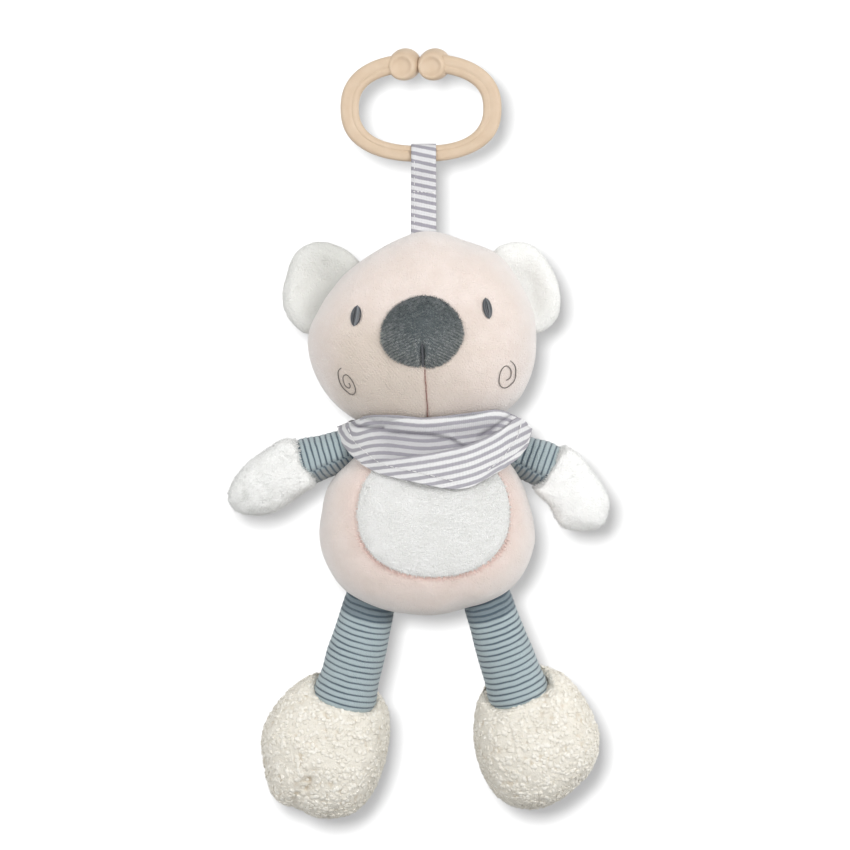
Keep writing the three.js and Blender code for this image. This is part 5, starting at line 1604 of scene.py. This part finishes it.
def scarf_ring():
    """The lower layer: a closed band between its top and hem loops, sunk between chin and upper layer."""
    count = 360
    upper = loop(np.concatenate([on_chest(SCARF_TOP), np.array(BACK_TOP, float)]), count)
    lower = loop(np.concatenate([on_chest(SCARF_HEM), np.array(BACK_HEM, float)]), count)
    share, behind, points, out = between(upper, lower, 0.12, 1.3)
    x, flat_z = points[..., 0], points[..., 2]
    front = points[..., 1] < 0
    middle = front * ease(x, -30, -14) * (1 - ease(x, 32, 42))
    roll = 1.3 * hump(share - 0.06, 0.1)
    sunk = 2.6 * middle * ease(share, 0.12, 0.4) * (1 - ease(share, 0.7, 1.0))
    ends = hump(upper[:, 0] + 33, 9) + hump(upper[:, 0] - 48, 8)
    pleats = 0.45 * ends[None] * np.sin(np.arange(count)[None] * 0.42) * np.clip(share, 0, 1)
    tucks = tuck(points, CREASE, 0.9, 1.5, 0.8) + tuck(points, LEFT_TUCK, 1.3, 2.4, 0.8)
    tucks = tucks + tuck(points, RIGHT_TUCK, 0.0, 2.2, 1.2)
    points = points + out * (behind + roll - sunk + pleats + tucks)[..., None]
    laid = points.reshape(-1, 3)
    laid += 0.5 * noise(laid, 9.0, 91)[:, None] * out.reshape(-1, 3)
    laid = room_to_turn(laid, out.reshape(-1, 3))
    fall = share * np.linalg.norm(lower - upper, axis=1)[None]
    edge = curve(SCARF_TOP, 200)
    below = np.hypot(np.minimum(0, x - LEFT_PIVOT_X), np.interp(x, *edge.T) - flat_z)
    back = ease(points[..., 1], -3, 6)
    around = np.linspace(0, 1, count)[None] * 240 + 0 * fall
    flat = np.stack([around, below * np.sign(share) * (1 - back) + fall * back], -1).reshape(-1, 2)
    # painted shade: the ring is painted darker in its middle under the chin, and below each tuck
    dull = middle * ease(share, 0.05, 0.2) + np.clip(-0.6 * tucks, 0, 1.4)
    return laid, grid_faces(len(share), count, True), flat, dull.ravel()


def scarf_panel():
    """The upper layer: a crescent over the front, folded along its top, with a turned hem on the right."""
    count = 260
    upper = curve(np.concatenate([on_chest(PANEL_TOP, 0.4), PANEL_END[0]]), count)
    lower = curve(np.concatenate([on_chest(PANEL_HEM, 0.6), PANEL_END[1]]), count)
    share, behind, points, out = between(upper, lower, 0.2, 1.1)
    along = np.linspace(0, 1, count)[None]
    right = ease(along, 0.5, 0.6) * (1 - ease(along, 0.86, 0.93))
    hem = right * ease(share, 0.84, 0.87)
    ruffle = 0.5 * ease(share, 0.75, 1) * right * np.sin(along * 75)
    swell = 0.8 * hump(share - 0.06, 0.08) * ease(along, 0.12, 0.4)
    proud = 1.9 * ease(along, 0.02, 0.3) * (1 - 0.5 * ease(along, 0.85, 1))
    behind = behind * ease(along, 0.0, 0.3)
    points = points + out * (behind + ruffle + swell + proud + 0.5 * hem)[..., None]
    laid = points.reshape(-1, 3)
    laid += 0.45 * noise(laid, 8.0, 92)[:, None] * out.reshape(-1, 3)
    fall = share * np.linalg.norm(lower - upper, axis=1)[None]
    edge = np.array(PANEL_TOP[:8] + [(60, -147.5)])
    straight = 0.87 * (np.interp(points[..., 0], *edge.T) - points[..., 2])
    turned = ease(points[..., 0], 30, 42)
    fall = fall * (1 - turned) + straight * turned + 1.6 * hem
    flat = np.stack(np.broadcast_arrays(along * 95, fall), -1).reshape(-1, 2)
    return laid, grid_faces(len(share), count), flat, np.zeros(len(laid))


def cloth_piece(name, shape, nodes=()):
    """A layer of the scarf, and its area in square metres."""
    points, faces, flat, dull = shape
    made = piece(name, points, faces, scarf_cloth, flat, dull=dull)
    thicken(made, CLOTH)
    settle(made, "torso", nodes)
    corner = points[faces]
    crossed = np.cross(corner[:, 2] - corner[:, 0], corner[:, 3] - corner[:, 1])
    area = 0.5 * np.linalg.norm(crossed, axis=1).sum()
    print(name, "cloth area", round(area), "square mm")
    return made, area * MM * MM


scarf_low, low_area = cloth_piece("scarf_ring", scarf_ring(), ["scarf"])
scarf_over, over_area = cloth_piece("scarf_panel", scarf_panel())
low_area = min(low_area, 0.0072)
over_area = min(over_area, 0.00273)

# %% Scarf stitches
STITCH_LEFT = [
    (-33.4, -158.9), (-30.8, -165.0), (-25.5, -170.0), (-20.2, -174.2), (-13.2, -176.8), (-4.4, -178.6),
    (5.0, -180.9), (15.0, -183.3),
]
STITCH_RIGHT = [(45.8, -156.8), (44.3, -162.7), (40.8, -168.0), (36.7, -173.3), (30.0, -178.5)]


def on_cloth(path, lift):
    """A path of x and z laid on whichever scarf layer is in front there."""
    cloth = np.concatenate([spots(layer) for layer in (scarf_low, scarf_over)])
    far = np.hypot(path[:, :1] - cloth[None, :, 0], path[:, 1:] - cloth[None, :, 2])
    level = np.where(far < 0.7, cloth[None, :, 1], 99).min(1)
    level = np.convolve(np.pad(level, 2, "edge"), np.full(5, 1 / 5), "valid")
    return np.stack([path[:, 0], level - lift, path[:, 1]], 1)


lines = [on_cloth(curve(path, 90), 0.8) for path in (STITCH_LEFT, STITCH_RIGHT)]
rows = [stitches(line, towards_viewer, 2.4, 0.4, 0.46) for line in lines]
settle(piece("scarf_stitches", *merge(rows), white_thread), "torso")
print("scarf ready")

# %% [markdown]
# ## The movement inside
# The musical movement, its case and the screws keep their CAD shapes. Each takes the finish of its slot.

# %% Finishes for the CAD nodes that stay
SLOT_FINISH = {
    "steel": steel, "brass": brass, "case_plastic": case_plastic, "cord": cord_braid, "stuffing": stuffing,
    "beige_velour": velour, "white_plush": white_plush, "ring_plastic": ring_plastic,
}
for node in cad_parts.values():
    if not node.hide_render:
        slot_name = node.data.materials[0].name.split(".")[0]
        node.data.materials.clear()
        node.data.materials.append(SLOT_FINISH[slot_name])
print("movement finished")
